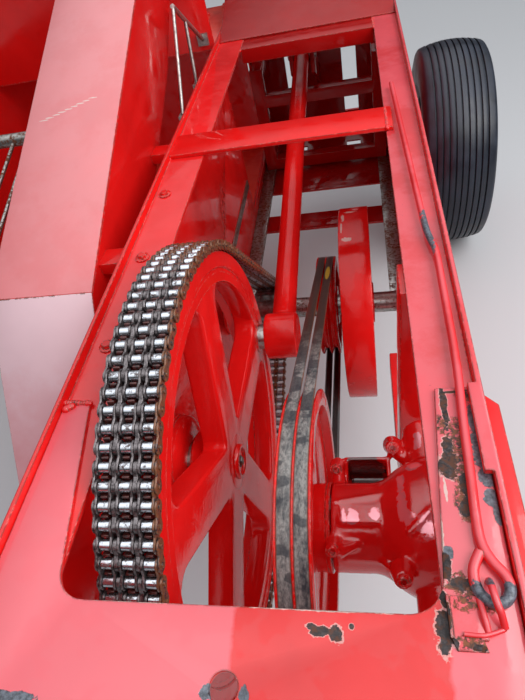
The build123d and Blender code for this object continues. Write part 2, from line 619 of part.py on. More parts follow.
def connecting_rod():
    """Return the connecting rod with its big end and small end."""
    big = bar_x(BIG_END_LEFT, BIG_END_RIGHT, PIN_Y, PIN_Z, BIG_END_R)
    small = bar_x(ROD_X - SMALL_END_WIDTH / 2, ROD_X + SMALL_END_WIDTH / 2,
                  WRIST_Y, WRIST_RISE, SMALL_END_R)
    tube = rod_between((ROD_X, PIN_Y, PIN_Z), (ROD_X, WRIST_Y, WRIST_RISE), ROD_R)
    bore = bar_x(ROD_X - SMALL_END_WIDTH, ROD_X + SMALL_END_WIDTH, WRIST_Y, WRIST_RISE,
                 WRIST_PIN_R + RUNNING_GAP)
    return big + small + tube - bore


def plunger():
    """Return the plunger: a welded box frame, its face plate with the needle slots, and the ears."""
    x0 = CHAMBER_MID - PLUNGER_WIDTH / 2
    x1 = CHAMBER_MID + PLUNGER_WIDTH / 2
    y0 = PLUNGER_FRONT
    y1 = PLUNGER_BACK
    tube = PLUNGER_TUBE
    middle = (PLUNGER_BOTTOM + PLUNGER_TOP) / 2 + 70.0
    frame = block(x0, x1, y0, y0 + tube, PLUNGER_BOTTOM, PLUNGER_BOTTOM + tube)
    frame += block(x0, x1, y0, y0 + tube, middle - tube / 2, middle + tube / 2)
    for x in (x0, x1 - tube):
        for z in (PLUNGER_BOTTOM, PLUNGER_TOP - tube):
            frame += block(x, x + tube, y0, y1, z, z + tube)
        frame += block(x, x + tube, y0, y0 + tube, PLUNGER_BOTTOM, PLUNGER_TOP)
    face = block(x0, x1, y1, y1 + PLUNGER_FACE_THICK, PLUNGER_BOTTOM, PLUNGER_TOP)
    for side in (-1, 1):
        slot = CHAMBER_MID + side * SLOT_SPREAD
        face -= block(slot - SLOT_WIDTH / 2, slot + SLOT_WIDTH / 2, y1 - 1, y1 + PLUNGER_FACE_THICK + 1,
                      PLUNGER_BOTTOM - 1, PLUNGER_TOP - tube / 2)
    ears = []
    for side in (-1, 1):
        inner = ROD_X + side * (SMALL_END_WIDTH / 2 + EAR_GAP)
        left = min(inner, inner + side * EAR_THICK)
        reach = SMALL_END_R - 2
        top = WRIST_RISE + EAR_RISE
        ear = plate_yz(left, left + EAR_THICK, [(WRIST_Y - reach, top), (WRIST_Y - reach, 60.0),
                                                (y1, -60.0), (y1, PLUNGER_TOP), (WRIST_Y + reach, top)])
        ears.append(ear - bar_x(left - 1, left + EAR_THICK + 1, WRIST_Y, WRIST_RISE, WRIST_PIN_R))
    return frame, face, Compound(ears)


def tyre():
    """Return the ribbed tyre as one turned ring."""
    half = TYRE_WIDTH / 2
    tread = half * 0.86
    crown = TYRE_R - TYRE_SHOULDER
    profile = [(-half * 0.72, BEAD_R), (-half * 0.92, BEAD_R + 30), (-half, BEAD_R + 75),
               (-half * 0.97, crown - 28)]
    step = 2 * tread / TYRE_RIBS
    for i in range(TYRE_RIBS + 1):
        x = -tread + step * i
        radius = TYRE_R - TYRE_SHOULDER * (x / tread)**2
        if i in (0, TYRE_RIBS):
            profile.append((x, radius))
            continue
        profile += [(x - GROOVE_HALF, radius), (x, radius - RIB_GROOVE), (x + GROOVE_HALF, radius)]
    profile += [(half * 0.97, crown - 28), (half, BEAD_R + 75), (half * 0.92, BEAD_R + 30),
                (half * 0.72, BEAD_R)]
    return Pos(TYRE_X, 0, 0) * turned(profile, TYRE_Y, TYRE_Z)


def wheel_rim():
    """Return the pressed steel wheel inside the tyre."""
    half = TYRE_WIDTH / 2 * 0.72
    barrel = ring_x(TYRE_X - half, TYRE_X + half, TYRE_Y, TYRE_Z, BEAD_R, BEAD_R - 8)
    disc = ring_x(TYRE_X + 10, TYRE_X + 18, TYRE_Y, TYRE_Z, BEAD_R - 6, 46.0)
    hub = ring_x(TYRE_X - 70, TYRE_X + 40, TYRE_Y, TYRE_Z, 46.2, SPINDLE_R + RUNNING_GAP)
    return barrel + disc + hub


def axle():
    """Return the stub axle: beam, gusset and spindle."""
    beam = block(RIGHT_WALL, TYRE_X - 74, TYRE_Y - 38, TYRE_Y + 38, TYRE_Z - 38, TYRE_Z + 38)
    pad = block(RIGHT_WALL, RIGHT_WALL + 14, TYRE_Y - 110, TYRE_Y + 110, TYRE_Z - 38, TYRE_Z + 190)
    spindle = bar_x(TYRE_X - 74, TYRE_X + 52, TYRE_Y, TYRE_Z, SPINDLE_R)
    return beam + pad + spindle


def hood_panels():
    """Return the feed cover's panels: top, nose and the two sides."""
    rise = tan(radians(HOOD_RISE))
    y1 = HOOD_SEAM_Y + HOOD_RUN
    z1 = HOOD_SEAM_Z + HOOD_RUN * rise
    nose_y = HOOD_SEAM_Y - NOSE_LENGTH * cos(radians(NOSE_FALL))
    nose_z = HOOD_SEAM_Z - NOSE_LENGTH * sin(radians(NOSE_FALL))
    drop = SHEET / cos(radians(HOOD_RISE))
    top = plate_yz(HOOD_LEFT, HOOD_RIGHT, [(HOOD_SEAM_Y, HOOD_SEAM_Z), (y1, z1), (y1, z1 - drop),
                                           (HOOD_SEAM_Y, HOOD_SEAM_Z - drop)])
    inset = SHEET / sin(radians(NOSE_FALL))
    under = HOOD_SEAM_Z - drop - 2 * SEAT_GAP
    nose = plate_yz(HOOD_LEFT, HOOD_RIGHT,
                    [(HOOD_SEAM_Y - SEAT_GAP, HOOD_SEAM_Z - SEAT_GAP), (nose_y, nose_z),
                     (nose_y + inset, nose_z), (HOOD_SEAM_Y - SEAT_GAP, under)])
    depths = [  # distance behind the seam, height above it, of the side panels' lower edge
        (HOOD_RUN, 234.0), (HOOD_RUN - 115.0, 174.0), (656.0, 79.0), (375.0, -30.0), (180.0, -106.0)]
    lower = [(HOOD_SEAM_Y + back, HOOD_SEAM_Z + rise_z) for back, rise_z in depths]
    side = [(HOOD_SEAM_Y - SEAT_GAP, under), (y1, z1 - drop - 2 * SEAT_GAP)] + lower
    side.append((nose_y + inset, nose_z))
    right = plate_yz(HOOD_RIGHT - SHEET, HOOD_RIGHT, side)
    left = plate_yz(HOOD_LEFT, HOOD_LEFT + SHEET, side)
    return top, nose, right, left


def feed_panel():
    """Return the upright panel behind the feed cover."""
    return block(FEED_END, LEFT_OUTER, FEED_PANEL_Y, FEED_PANEL_Y + SHEET, FEED_PANEL_LOW,
                 FEED_PANEL_TOP)


def feed_trough():
    """Return the sheet trough that leads to the feed opening: floor, back, roof and end wall."""
    back = FEED_FRONT + FEED_LENGTH + 17.0
    floor = FLOOR_LEVEL + FEED_SILL
    roof = FEED_PANEL_LOW
    trough = block(FEED_END, LEFT_WALL, TROUGH_FRONT, back, floor - SHEET, floor)
    trough += block(FEED_END, LEFT_OUTER, back - SHEET, back, floor, roof)
    trough += block(FEED_END, LEFT_OUTER, FEED_PANEL_Y + SHEET, back, roof - SHEET, roof)
    trough += block(FEED_END, FEED_END + SHEET, TROUGH_FRONT, FEED_PANEL_Y, floor, TROUGH_END_TOP)
    return trough + block(FEED_END, FEED_END + SHEET, FEED_PANEL_Y, back, floor, FEED_PANEL_LOW)


def wind_guard():
    """Return the guard over the feed trough: a tube with slim rods that hang forwards."""
    guard = bar_x(FEED_END + SHEET, HOOD_LEFT, GUARD_Y, GUARD_Z, GUARD_TUBE_R)
    for i in range(GUARD_RODS):
        x = HOOD_LEFT - GUARD_PITCH * (i + 1)
        tip = (x, GUARD_Y - GUARD_REACH, GUARD_Z - GUARD_FALL)
        guard += rod_between((x, GUARD_Y, GUARD_Z), tip, GUARD_ROD_R)
    return guard


def trip_rods():
    """Return the two thin rods beside the left rail, with their link, lugs and pad."""
    pad = 14.0
    lug = 12.0
    ends = [  # y at the foot, y and z at the top
        (742.0, 887.0, 421.0), (914.0, 957.0, 377.0)]
    foot = RAIL_TOP - 20.0
    hinge = FEED_PANEL_LOW + 2 * pad
    link_y = ends[0][1] - 2.0
    link_z = ends[0][2] + 4.0
    rods = rod_between((TRIP_X, link_y, link_z), (TRIP_X, FEED_PANEL_Y - TRIP_R, hinge), TRIP_R + 1)
    rods += block(TRIP_X - pad, TRIP_X + pad, FEED_PANEL_Y - 2 * TRIP_R, FEED_PANEL_Y, hinge - pad,
                  hinge + pad)
    for low_y, high_y, high_z in ends:
        rods += rod_between((TRIP_X, low_y, foot), (TRIP_X, high_y, high_z), TRIP_R)
        rods += block(TRIP_X - 2 * TRIP_R, LEFT_OUTER, low_y - lug, low_y + lug, foot - 2 * TRIP_R, foot)
    return rods


def hood_brackets():
    """Return the bars that carry the feed cover on the left rail's lip."""
    z = RAIL_TOP - LIP_DROP + 2
    return Compound([block(HOOD_RIGHT, LEFT_OUTER, HOOD_SEAM_Y + back, HOOD_SEAM_Y + back + 40,
                           z, z + 20) for back in (50.0, 395.0)])


def rear_cover():
    """Return the sloping cover behind the rear bar and the posts that carry it."""
    y0 = REAR_BAR_Y + REAR_BAR_WIDTH - COVER_LAP
    flat = y0 + COVER_LAP
    z0 = RAIL_TOP
    z1 = z0 + COVER_RISE
    sheet = plate_yz(LEFT_WALL, RIGHT_WALL, [(y0, z0), (flat, z0), (COVER_END, z1),
                                             (COVER_END, z1 + SHEET), (flat, z0 + SHEET),
                                             (y0, z0 + SHEET)])
    slope = COVER_RISE / (COVER_END - flat)
    front = COVER_END - 2 * POST_THICK
    back = front + POST_THICK
    outline = [(front, z0), (back, z0), (back, z0 + (back - flat) * slope),
               (front, z0 + (front - flat) * slope)]
    posts = [plate_yz(x, x + POST_THICK, outline) for x in (LEFT_WALL, RIGHT_WALL - POST_THICK)]
    return sheet, Compound(posts)


def rear_bar():
    """Return the angle between the rails in front of the rear cover."""
    y1 = REAR_BAR_Y + REAR_BAR_WIDTH
    bar = block(LEFT_INNER, RIGHT_INNER, REAR_BAR_Y, y1, RAIL_UNDER, RAIL_TOP)
    return bar + block(LEFT_INNER, RIGHT_INNER, REAR_BAR_Y, REAR_BAR_Y + RAIL_THICK,
                       RAIL_TOP - REAR_BAR_HEIGHT, RAIL_UNDER)


def gearbox_plate():
    """Return the plate outside the right rail that the gearbox hangs on, with its top flange."""
    front = FRONT_END + 10
    rear = DECK_ARM_END + 5
    y = FRONT_PULLEY_Y
    low = FRONT_PULLEY_Z + BOSS_R + 8
    side = BELT_RING_R + 8
    web = plate_yz(RIGHT_OUTER, RIGHT_OUTER + PLATE_THICK, [
        (front, SIDE_STRIP_Z), (front, SIDE_STRIP_Z - APRON_DROP), (y - side, low), (y + side, low),
        (y + side, SIDE_STRIP_Z / 2), (rear, SIDE_STRIP_Z)])
    web -= bar_x(RIGHT_OUTER - 1, RIGHT_OUTER + PLATE_THICK + 1, y, FRONT_PULLEY_Z, DOME_R + 2)
    edge = RIGHT_OUTER + SIDE_STRIP_WIDTH
    flange = plate_xy(SIDE_STRIP_Z, SIDE_STRIP_Z + PLATE_THICK, [
        (RIGHT_OUTER, front), (edge, front), (edge, rear - 14), (edge - 13, rear),
        (RIGHT_OUTER, rear)])
    return web + flange


def hook_rod():
    """Return the rod along the right rail, bent into a pointed eye at the front."""
    toe = (HOOK_X - HOOK_EYE_R / 2, HOOK_Y + HOOK_EYE_LENGTH)
    bends = [  # distance from the right lip, y
        (36.0, 668.0), (21.0, 175.0), (13.0, 140.0), (15.0, -30.0), (21.0, -180.0)]
    points = [(RIGHT_WALL - inset, y) for inset, y in bends] + [toe]
    rod = rod_between((*points[0], HOOK_Z), (*points[1], HOOK_Z), HOOK_ROD_R)
    for a, b in zip(points[1:], points[2:]):
        rod += Pos(*a, HOOK_Z) * Sphere(HOOK_ROD_R)
        rod += rod_between((*a, HOOK_Z), (*b, HOOK_Z), HOOK_ROD_R)
    rod += Pos(*toe, HOOK_Z) * Sphere(HOOK_ROD_R)
    reach = hypot(toe[0] - HOOK_X, toe[1] - HOOK_Y)
    facing = atan2(toe[1] - HOOK_Y, toe[0] - HOOK_X)
    half = acos(HOOK_EYE_R / reach)
    start = facing + half
    section = Pos(HOOK_EYE_R, 0, 0) * Rot(90, 0, 0) * Circle(HOOK_ROD_R)
    arc = revolve(section, axis=Axis.Z, revolution_arc=degrees(2 * (pi - half)))
    rod += Pos(HOOK_X, HOOK_Y, HOOK_Z) * Rot(0, 0, degrees(start)) * arc
    for angle in (start, facing - half):
        end = (HOOK_X + HOOK_EYE_R * cos(angle), HOOK_Y + HOOK_EYE_R * sin(angle), HOOK_Z)
        rod += rod_between(end, (*toe, HOOK_Z), HOOK_ROD_R)
    return rod


def latch():
    """Return the latch plate and the pin that the hook's eye drops over."""
    seat = RAIL_TOP + DECK_THICK
    front = HOOK_Y - HOOK_EYE_R - HOOK_ROD_R - 2.0
    right = HOOK_X - HOOK_ROD_R
    plate = block(right - LATCH_SIZE, right, front - LATCH_SIZE, front, seat, seat + LATCH_THICK)
    pin = bar_z(HOOK_X, HOOK_Y - 2.0, seat, seat + LATCH_PIN, HOOK_ROD_R)
    return Compound([plate, pin])


def save(name, shape):
    """Write one piece, moved so that the rear flange's bolt pattern is the origin."""
    export_step(Pos(-MOUNT_X, -REAR_END, -MOUNT_Z) * shape, f"parts/{name}.step")


wall_right = RIGHT_WALL - PLATE_THICK
post_right = POST_X + POST_SIZE
cover_sheet, cover_posts = rear_cover()

save("rail_left", rail(LEFT_OUTER, LEFT_INNER))
save("rail_right", rail(RIGHT_OUTER, RIGHT_INNER) + rail_step())
save("deck", deck())
save("side_plate_left", side_plate_left())
save("side_plate_right", side_plate_right())
save("rear_flange", rear_flange())
save("cross_bar", block(LEFT_WALL, RIGHT_INNER + CROSS_BAR_LAP, CROSS_BAR_Y,
                        CROSS_BAR_Y + CROSS_BAR_WIDTH, RAIL_TOP, RAIL_TOP + CROSS_BAR_THICK))
save("rear_bar", rear_bar())
save("rear_cover", cover_sheet)
save("cover_posts", cover_posts)
save("floor_bar", block(LEFT_WALL, RIGHT_WALL, FLOOR_BAR_Y, FLOOR_BAR_Y + FLOOR_BAR_WIDTH,
                        FLOOR_LEVEL - CROSS_BAR_THICK, FLOOR_LEVEL))
save("chamber_floor", chamber_floor())
save("wear_strips", wear_strips())
save("post_right", block(POST_X, post_right, POST_Y, POST_Y + POST_SIZE, FLOOR_LEVEL, RAIL_UNDER))
save("lower_rail", block(POST_X, post_right, POST_Y + POST_SIZE, RIGHT_PLATE_FRONT, FLOOR_LEVEL,
                         FLOOR_LEVEL + LOWER_RAIL_HEIGHT))
save("plunger_guides", Compound([
    block(x, x + GUIDE_WIDTH, GUIDE_FRONT, FLANGE_FACE, FLOOR_LEVEL, PLUNGER_BOTTOM - SEAT_GAP)
    for x in (PLATE_INSIDE, wall_right - GUIDE_WIDTH)]))

save("crank_bearing", crank_bearing())
save("counter_bearings", Compound([flange_bearing(PLATE_INSIDE, 1), flange_bearing(wall_right, -1)]))
save("gearbox_case", gearbox())
save("gearbox_plate", gearbox_plate())
save("chain", chain())
save("v_belts", v_belts())

save("crank_wheel", crank_wheel())
save("crank_shaft", bar_x(LEFT_OUTER - 14, CRANK_HUB_FACE + 2, 0, 0, CRANK_SHAFT_R))
save("crank_pin", bar_x(0.0, BIG_END_LEFT - SEAT_GAP, PIN_Y, PIN_Z, CRANK_PIN_R))

save("countershaft", bar_x(LEFT_OUTER - 10, RIGHT_OUTER + 8, COUNTER_Y, COUNTER_Z, COUNTER_R))
save("flywheel", flywheel())
save("rear_pulley", pulley(REAR_PULLEY_R, COUNTER_Y, COUNTER_Z, 46.0, COUNTER_R, 16.0))
save("pinion", ring_x(-RIM_HALF, RIM_HALF, COUNTER_Y, COUNTER_Z, PINION_R, COUNTER_R))

save("front_pulley", pulley(FRONT_PULLEY_R, FRONT_PULLEY_Y, FRONT_PULLEY_Z, 48.0, COUNTER_R, 14.0))
case_front = FRONT_PULLEY_Y - CASE_FRONT
save("pulley_shaft", bar_x(PULLEY_MID - 34, GEARBOX_X - INPUT_R - 1, FRONT_PULLEY_Y, FRONT_PULLEY_Z,
                           COUNTER_R))
save("input_shaft", bar_y(GEARBOX_X, case_front - INPUT_REACH, case_front - 1, FRONT_PULLEY_Z, INPUT_R)
     + bar_y(GEARBOX_X, case_front - 1, FRONT_PULLEY_Y - COUNTER_R - 2, FRONT_PULLEY_Z,
             INPUT_R + INPUT_STEP))

save("connecting_rod", connecting_rod())
plunger_frame, plunger_face, plunger_ears = plunger()
save("plunger_frame", plunger_frame)
save("plunger_face", plunger_face)
save("plunger_ears", plunger_ears)
pin_half = SMALL_END_WIDTH / 2 + EAR_GAP + EAR_THICK + PIN_PROUD
save("wrist_pin", bar_x(ROD_X - pin_half, ROD_X + pin_half, WRIST_Y, WRIST_RISE, WRIST_PIN_R))

save("tyre", tyre())
save("wheel_rim", wheel_rim())
save("stub_axle", axle())

hood_top, hood_nose, hood_right, hood_left = hood_panels()
save("hood_top", hood_top)
save("hood_nose", hood_nose)
save("hood_side_right", hood_right)
save("hood_side_left", hood_left)
save("hood_brackets", hood_brackets())
save("feed_panel", feed_panel())
save("feed_trough", feed_trough())
save("wind_guard", wind_guard())
save("trip_rods", trip_rods())
save("hook_rod", hook_rod())
save("latch", latch())
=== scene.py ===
"""Paint, chain, belts, castings and fittings for the drive bay of a small square baler."""
import json
import random
from math import acos, atan2, cos, pi, radians, sin

import bmesh
import bpy
from mathutils import Matrix, Vector


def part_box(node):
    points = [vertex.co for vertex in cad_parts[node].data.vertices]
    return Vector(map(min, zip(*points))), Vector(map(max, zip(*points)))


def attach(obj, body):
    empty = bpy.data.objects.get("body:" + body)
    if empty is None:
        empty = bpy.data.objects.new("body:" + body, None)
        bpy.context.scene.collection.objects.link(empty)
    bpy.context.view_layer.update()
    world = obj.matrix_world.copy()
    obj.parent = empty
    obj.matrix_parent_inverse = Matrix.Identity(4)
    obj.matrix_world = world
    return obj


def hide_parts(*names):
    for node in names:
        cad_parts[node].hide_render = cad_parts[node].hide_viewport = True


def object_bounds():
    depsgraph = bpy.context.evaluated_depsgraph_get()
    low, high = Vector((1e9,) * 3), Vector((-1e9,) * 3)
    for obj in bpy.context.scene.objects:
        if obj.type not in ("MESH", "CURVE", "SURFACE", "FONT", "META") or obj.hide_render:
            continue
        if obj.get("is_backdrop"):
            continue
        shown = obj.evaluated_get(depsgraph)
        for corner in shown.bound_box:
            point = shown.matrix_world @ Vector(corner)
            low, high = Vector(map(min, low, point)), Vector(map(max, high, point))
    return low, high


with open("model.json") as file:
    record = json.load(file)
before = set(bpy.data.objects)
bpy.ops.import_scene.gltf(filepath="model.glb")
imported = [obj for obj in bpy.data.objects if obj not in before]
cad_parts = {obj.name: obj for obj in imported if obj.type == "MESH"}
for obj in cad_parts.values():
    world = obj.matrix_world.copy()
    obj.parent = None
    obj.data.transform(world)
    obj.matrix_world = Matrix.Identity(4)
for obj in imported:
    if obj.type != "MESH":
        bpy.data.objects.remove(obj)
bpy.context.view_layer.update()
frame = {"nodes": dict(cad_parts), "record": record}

bl_info = {
    "name": "Baler drive bay",
    "version": (1, 0, 0),
    "blender": (4, 5, 0),
    "location": "View3D > Sidebar > Drive bay",
    "description": "Paints the drive bay and adds its chain, belts, castings and fittings",
    "category": "Object",
}

SHAFT_LOW, SHAFT_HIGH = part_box("crank_shaft")
FLANGE_LOW, FLANGE_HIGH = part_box("rear_flange")
HUB = Vector(((FLANGE_LOW.x + FLANGE_HIGH.x) / 2 - 0.1155, (SHAFT_LOW.y + SHAFT_HIGH.y) / 2,
              (SHAFT_LOW.z + SHAFT_HIGH.z) / 2))
BODY_OF = {node: body for body, group in frame["record"]["behaviour"]["bodies"].items()
           for node in group}
MADE = {}

# Middles of the wheels across X, in millimetres from the crank wheel's middle: y and z
CRANK = (0.0, 0.0)
COUNTER = (527.0, -165.0)
PULLEY = (-105.0, -4.0)
TYRE = (1431.0, -271.0)

CRANK_TEETH, PINION_TEETH = 112, 19
SPOKES, FIRST_SPOKE = 5, -4             # the angle of the first spoke in degrees
FRONT_PULLEY_R, REAR_PULLEY_R = 195.0, 117.0
BELT_SIDEWAYS = 9.7                     # from the middle of both belts to one belt's middle
PLATE_RIGHT, PLATE_LEFT = 343, -112     # outer faces of the side plates
DECK_TOP = 275
HOOK_Z = 279.5

# Colours of dirt and marks, the ones in pairs from dark to light or from clean to dirty;
# GLARE is a painted reflection, BELT_SHADE a painted shade, and ROLLER's second colour serves
# both oily dirt and painted shade
PRIMER = (0.86, 0.62, 0.56)
# Painted reflection: the pale pink of the glare patches.
GLARE = (0.95, 0.44, 0.50)
MUCK = (0.07, 0.014, 0.011)
SCAB = ((0.035, 0.022, 0.020), (0.26, 0.085, 0.035))
WET_STEEL = ((0.040, 0.046, 0.060), (0.17, 0.19, 0.23))
PITS = ((0.012, 0.008, 0.009), (0.085, 0.070, 0.072))
OILY_GREY = ((0.045, 0.034, 0.036), (0.26, 0.23, 0.235))
CHAIN_RUST = ((0.30, 0.115, 0.045), (0.10, 0.035, 0.018))
ROLLER = ((0.60, 0.63, 0.68), (0.085, 0.055, 0.050))
TOOTH = ((0.10, 0.018, 0.014), (0.028, 0.009, 0.008))
BELT_DUST = ((0.026, 0.030, 0.038), (0.36, 0.36, 0.34))
BELT_SMOOTH = ((0.030, 0.018, 0.015), (0.085, 0.055, 0.045))
BELT_SIDE = (0.20, 0.07, 0.03)
# Painted shade on the belts' lower strand at the rear.
BELT_SHADE = (0.012, 0.008, 0.007)
BELT_MARK = (0.75, 0.62, 0.05)
FLOOR = ((0.55, 0.55, 0.56), (0.70, 0.71, 0.73))
SKY = (0.95, 0.97, 1.0, 1.0)

POINT, EDGE = bmesh.types.BMVert, bmesh.types.BMEdge


def spot(x, y, z):
    """Return the point that lies these millimetres from the middle of the crank wheel."""
    return Vector((x / 1000 + HUB.x, y / 1000 + HUB.y, z / 1000 + HUB.z))


class BaySizes(bpy.types.PropertyGroup):
    chain_pitch: bpy.props.FloatProperty(
        name="Chain pitch", description="Distance between two rollers of the triplex chain",
        default=0.01905, min=0.01, unit="LENGTH")
    strand_pitch: bpy.props.FloatProperty(
        name="Strand pitch", description="Distance between the chain's three strands",
        default=0.02278, min=0.01, unit="LENGTH")
    roller_radius: bpy.props.FloatProperty(
        name="Roller radius", description="Radius of the chain's rollers",
        default=0.00595, min=0.001, unit="LENGTH")
    belt_top: bpy.props.FloatProperty(
        name="Belt width", description="Width of a V-belt at its top",
        default=0.0164, min=0.005, unit="LENGTH")
    belt_depth: bpy.props.FloatProperty(
        name="Belt depth", description="Height of a V-belt's section",
        default=0.011, min=0.004, unit="LENGTH")
    tyre_grooves: bpy.props.IntProperty(
        name="Tyre grooves", description="Grooves round the tread of the road wheel",
        default=9, min=3, max=15)
    casting_grain: bpy.props.FloatProperty(
        name="Casting grain", description="Size of the mesh cells of the cast pieces",
        default=0.0026, min=0.002, unit="LENGTH")
    floor_size: bpy.props.FloatProperty(
        name="Floor", description="Width of the floor", default=14.0, min=4.0, unit="LENGTH")


class BayColours(bpy.types.PropertyGroup):
    paint: bpy.props.FloatVectorProperty(
        name="Paint", description="Red enamel of the plates and castings", subtype="COLOR",
        default=(0.90, 0.012, 0.011))
    # Painted sheen: a pale pink stand-in for the sky's reflection, painted on the faces that
    # look up.
    painted_sheen: bpy.props.FloatVectorProperty(
        name="Bloom", description="Wet and faded paint on the faces that look up",
        subtype="COLOR", default=(0.98, 0.17, 0.21))
    rust: bpy.props.FloatVectorProperty(
        name="Rust", description="Rust round the chips", subtype="COLOR",
        default=(0.24, 0.07, 0.025))
    bare: bpy.props.FloatVectorProperty(
        name="Bare plate", description="Dark steel inside the chips", subtype="COLOR",
        default=(0.045, 0.032, 0.030))
    steel: bpy.props.FloatVectorProperty(
        name="Bright steel", description="Rubbed rollers, pins and shafts", subtype="COLOR",
        default=(0.62, 0.60, 0.57))
    # Only the shade patches take this colour: painted shade, as in the gearbox foot's pocket.
    oil: bpy.props.FloatVectorProperty(
        name="Oily dirt", description="Black grease with dust in it", subtype="COLOR",
        default=(0.022, 0.013, 0.011))
    # The blue tint of this rubber is painted sheen, the sky's reflection painted into its
    # colour.
    rubber: bpy.props.FloatVectorProperty(
        name="Tyre rubber", description="Rubber of the road wheel", subtype="COLOR",
        default=(0.013, 0.017, 0.027))


def sizes():
    return bpy.context.scene.bay_sizes


def colours():
    return bpy.context.scene.bay_colours


class Finish:
    """One material whose patterns follow the place on the machine."""

    def __init__(self, name):
        self.material = bpy.data.materials.new(name)
        self.material.use_nodes = True
        self.nodes = self.material.node_tree.nodes
        self.links = self.material.node_tree.links
        self.shader = self.nodes["Principled BSDF"]
        self.place = self.node("TexCoord").outputs["Object"]

    def node(self, kind, **settings):
        made = self.nodes.new("ShaderNode" + kind)
        for key, value in settings.items():
            setattr(made, key, value)
        return made

    def plug(self, socket, value):
        if isinstance(value, bpy.types.NodeSocket):
            self.links.new(value, socket)
        elif hasattr(value, "__len__") and socket.type == "RGBA":
            socket.default_value = (*value[:3], 1.0)
        else:
            socket.default_value = value

    def math(self, operation, a, b=0.0, clamp=False):
        made = self.node("Math", operation=operation, use_clamp=clamp)
        self.plug(made.inputs[0], a)
        self.plug(made.inputs[1], b)
        return made.outputs[0]

    def both(self, a, b):
        return self.math("MULTIPLY", a, b)

    def either(self, a, b):
        return self.math("MAXIMUM", a, b)

    def plus(self, a, b, share, clamp=False):
        """Return a with a share of b added to it."""
        return self.math("ADD", a, self.both(b, share), clamp)

    def vector(self, operation, a, b):
        made = self.node("VectorMath", operation=operation)
        self.plug(made.inputs[0], a)
        self.plug(made.inputs[1], b)
        return made.outputs["Value" if operation in ("LENGTH", "DOT_PRODUCT") else "Vector"]

    def noise(self, grain, detail=3.0, rough=0.55, shift=0.0, stretch=None, where=None):
        """Return noise whose grains are about this many millimetres across."""
        made = self.node("TexNoise")
        place = where or self.place
        if shift or stretch:
            mapping = self.node("Mapping")
            self.plug(mapping.inputs["Vector"], place)
            mapping.inputs["Location"].default_value = (shift, shift * 0.7, -shift)
            mapping.inputs["Scale"].default_value = stretch or (1, 1, 1)
            place = mapping.outputs[0]
        self.plug(made.inputs["Vector"], place)
        made.inputs["Scale"].default_value = 1000 / grain
        made.inputs["Detail"].default_value = detail
        made.inputs["Roughness"].default_value = rough
        return made.outputs["Fac"]

    def grade(self, value, low, high, start=0.0, end=1.0):
        """Return the value carried from one range to another and held at its ends."""
        made = self.node("MapRange", clamp=True)
        for socket, number in zip(made.inputs, (value, low, high, start, end)):
            self.plug(socket, number)
        return made.outputs[0]

    def mix(self, share, a, b):
        made = self.node("Mix", data_type="RGBA", clamp_factor=True)
        self.plug(made.inputs[0], share)
        self.plug(made.inputs[6], a)
        self.plug(made.inputs[7], b)
        return made.outputs[2]

    def part(self, vector, axis):
        parts = self.node("SeparateXYZ")
        self.plug(parts.inputs[0], vector)
        return parts.outputs["XYZ".index(axis)]

    def along(self, axis):
        """Return the place along an axis, in metres from the crank wheel's middle."""
        return self.part(self.vector("SUBTRACT", self.place, tuple(HUB)), axis)

    def facing(self, axis):
        return self.part(self.node("NewGeometry").outputs["Normal"], axis)

    def patches(self, places, ragged=0.5, grain=9.0, soft=0.08, larger=1.0):
        """Return torn patches, each given by its middle and half sizes in millimetres."""
        torn = self.both(self.math("SUBTRACT", self.noise(grain, 4, 0.65), 0.5), 2 * ragged)
        found = None
        for centre, reach in places:
            away = self.vector("SUBTRACT", self.place, tuple(spot(*centre)))
            away = self.vector("MULTIPLY", away, tuple(1000 / (r * larger) for r in reach))
            far = self.math("ADD", self.vector("LENGTH", away, (0, 0, 0)), torn)
            one = self.grade(far, 1.0 + soft, 1.0 - soft)
            found = self.either(found, one) if found else one
        return found

    def bump(self, height, strength, distance, normal=None):
        made = self.node("Bump")
        made.inputs["Strength"].default_value = strength
        made.inputs["Distance"].default_value = distance
        self.plug(made.inputs["Height"], height)
        if normal:
            self.plug(made.inputs["Normal"], normal)
        return made.outputs[0]

    def edges(self, radius):
        """Return 1 on the edges and 0 away from them."""
        round_off = self.node("Bevel", samples=4)
        round_off.inputs["Radius"].default_value = radius
        flat = self.node("NewGeometry").outputs["Normal"]
        same = self.vector("DOT_PRODUCT", round_off.outputs[0], flat)
        return self.grade(same, 0.995, 0.90)

    def done(self, colour, rough, metal=0.0, normal=None, ior=1.5, coat=0.0):
        self.plug(self.shader.inputs["Base Color"], colour)
        self.plug(self.shader.inputs["Roughness"], rough)
        self.plug(self.shader.inputs["Metallic"], metal)
        self.shader.inputs["IOR"].default_value = ior
        self.shader.inputs["Coat Weight"].default_value = coat
        self.shader.inputs["Coat Roughness"].default_value = 0.05
        if normal:
            self.plug(self.shader.inputs["Normal"], normal)
        return self.material


def tone(colour, level):
    return tuple(level * part for part in colour)


def marks(z, deep, *rows):
    """Return patches on a level face. A row is x, y and the half sizes along X and Y."""
    return tuple(((x, y, z), (wide, long, deep)) for x, y, wide, long in rows)


def once(make):
    """Keep each finish that a function makes, so that one name is made once."""
    def kept(name, *given, **settings):
        if name not in MADE:
            MADE[name] = make(name, *given, **settings)
        return MADE[name]
    return kept


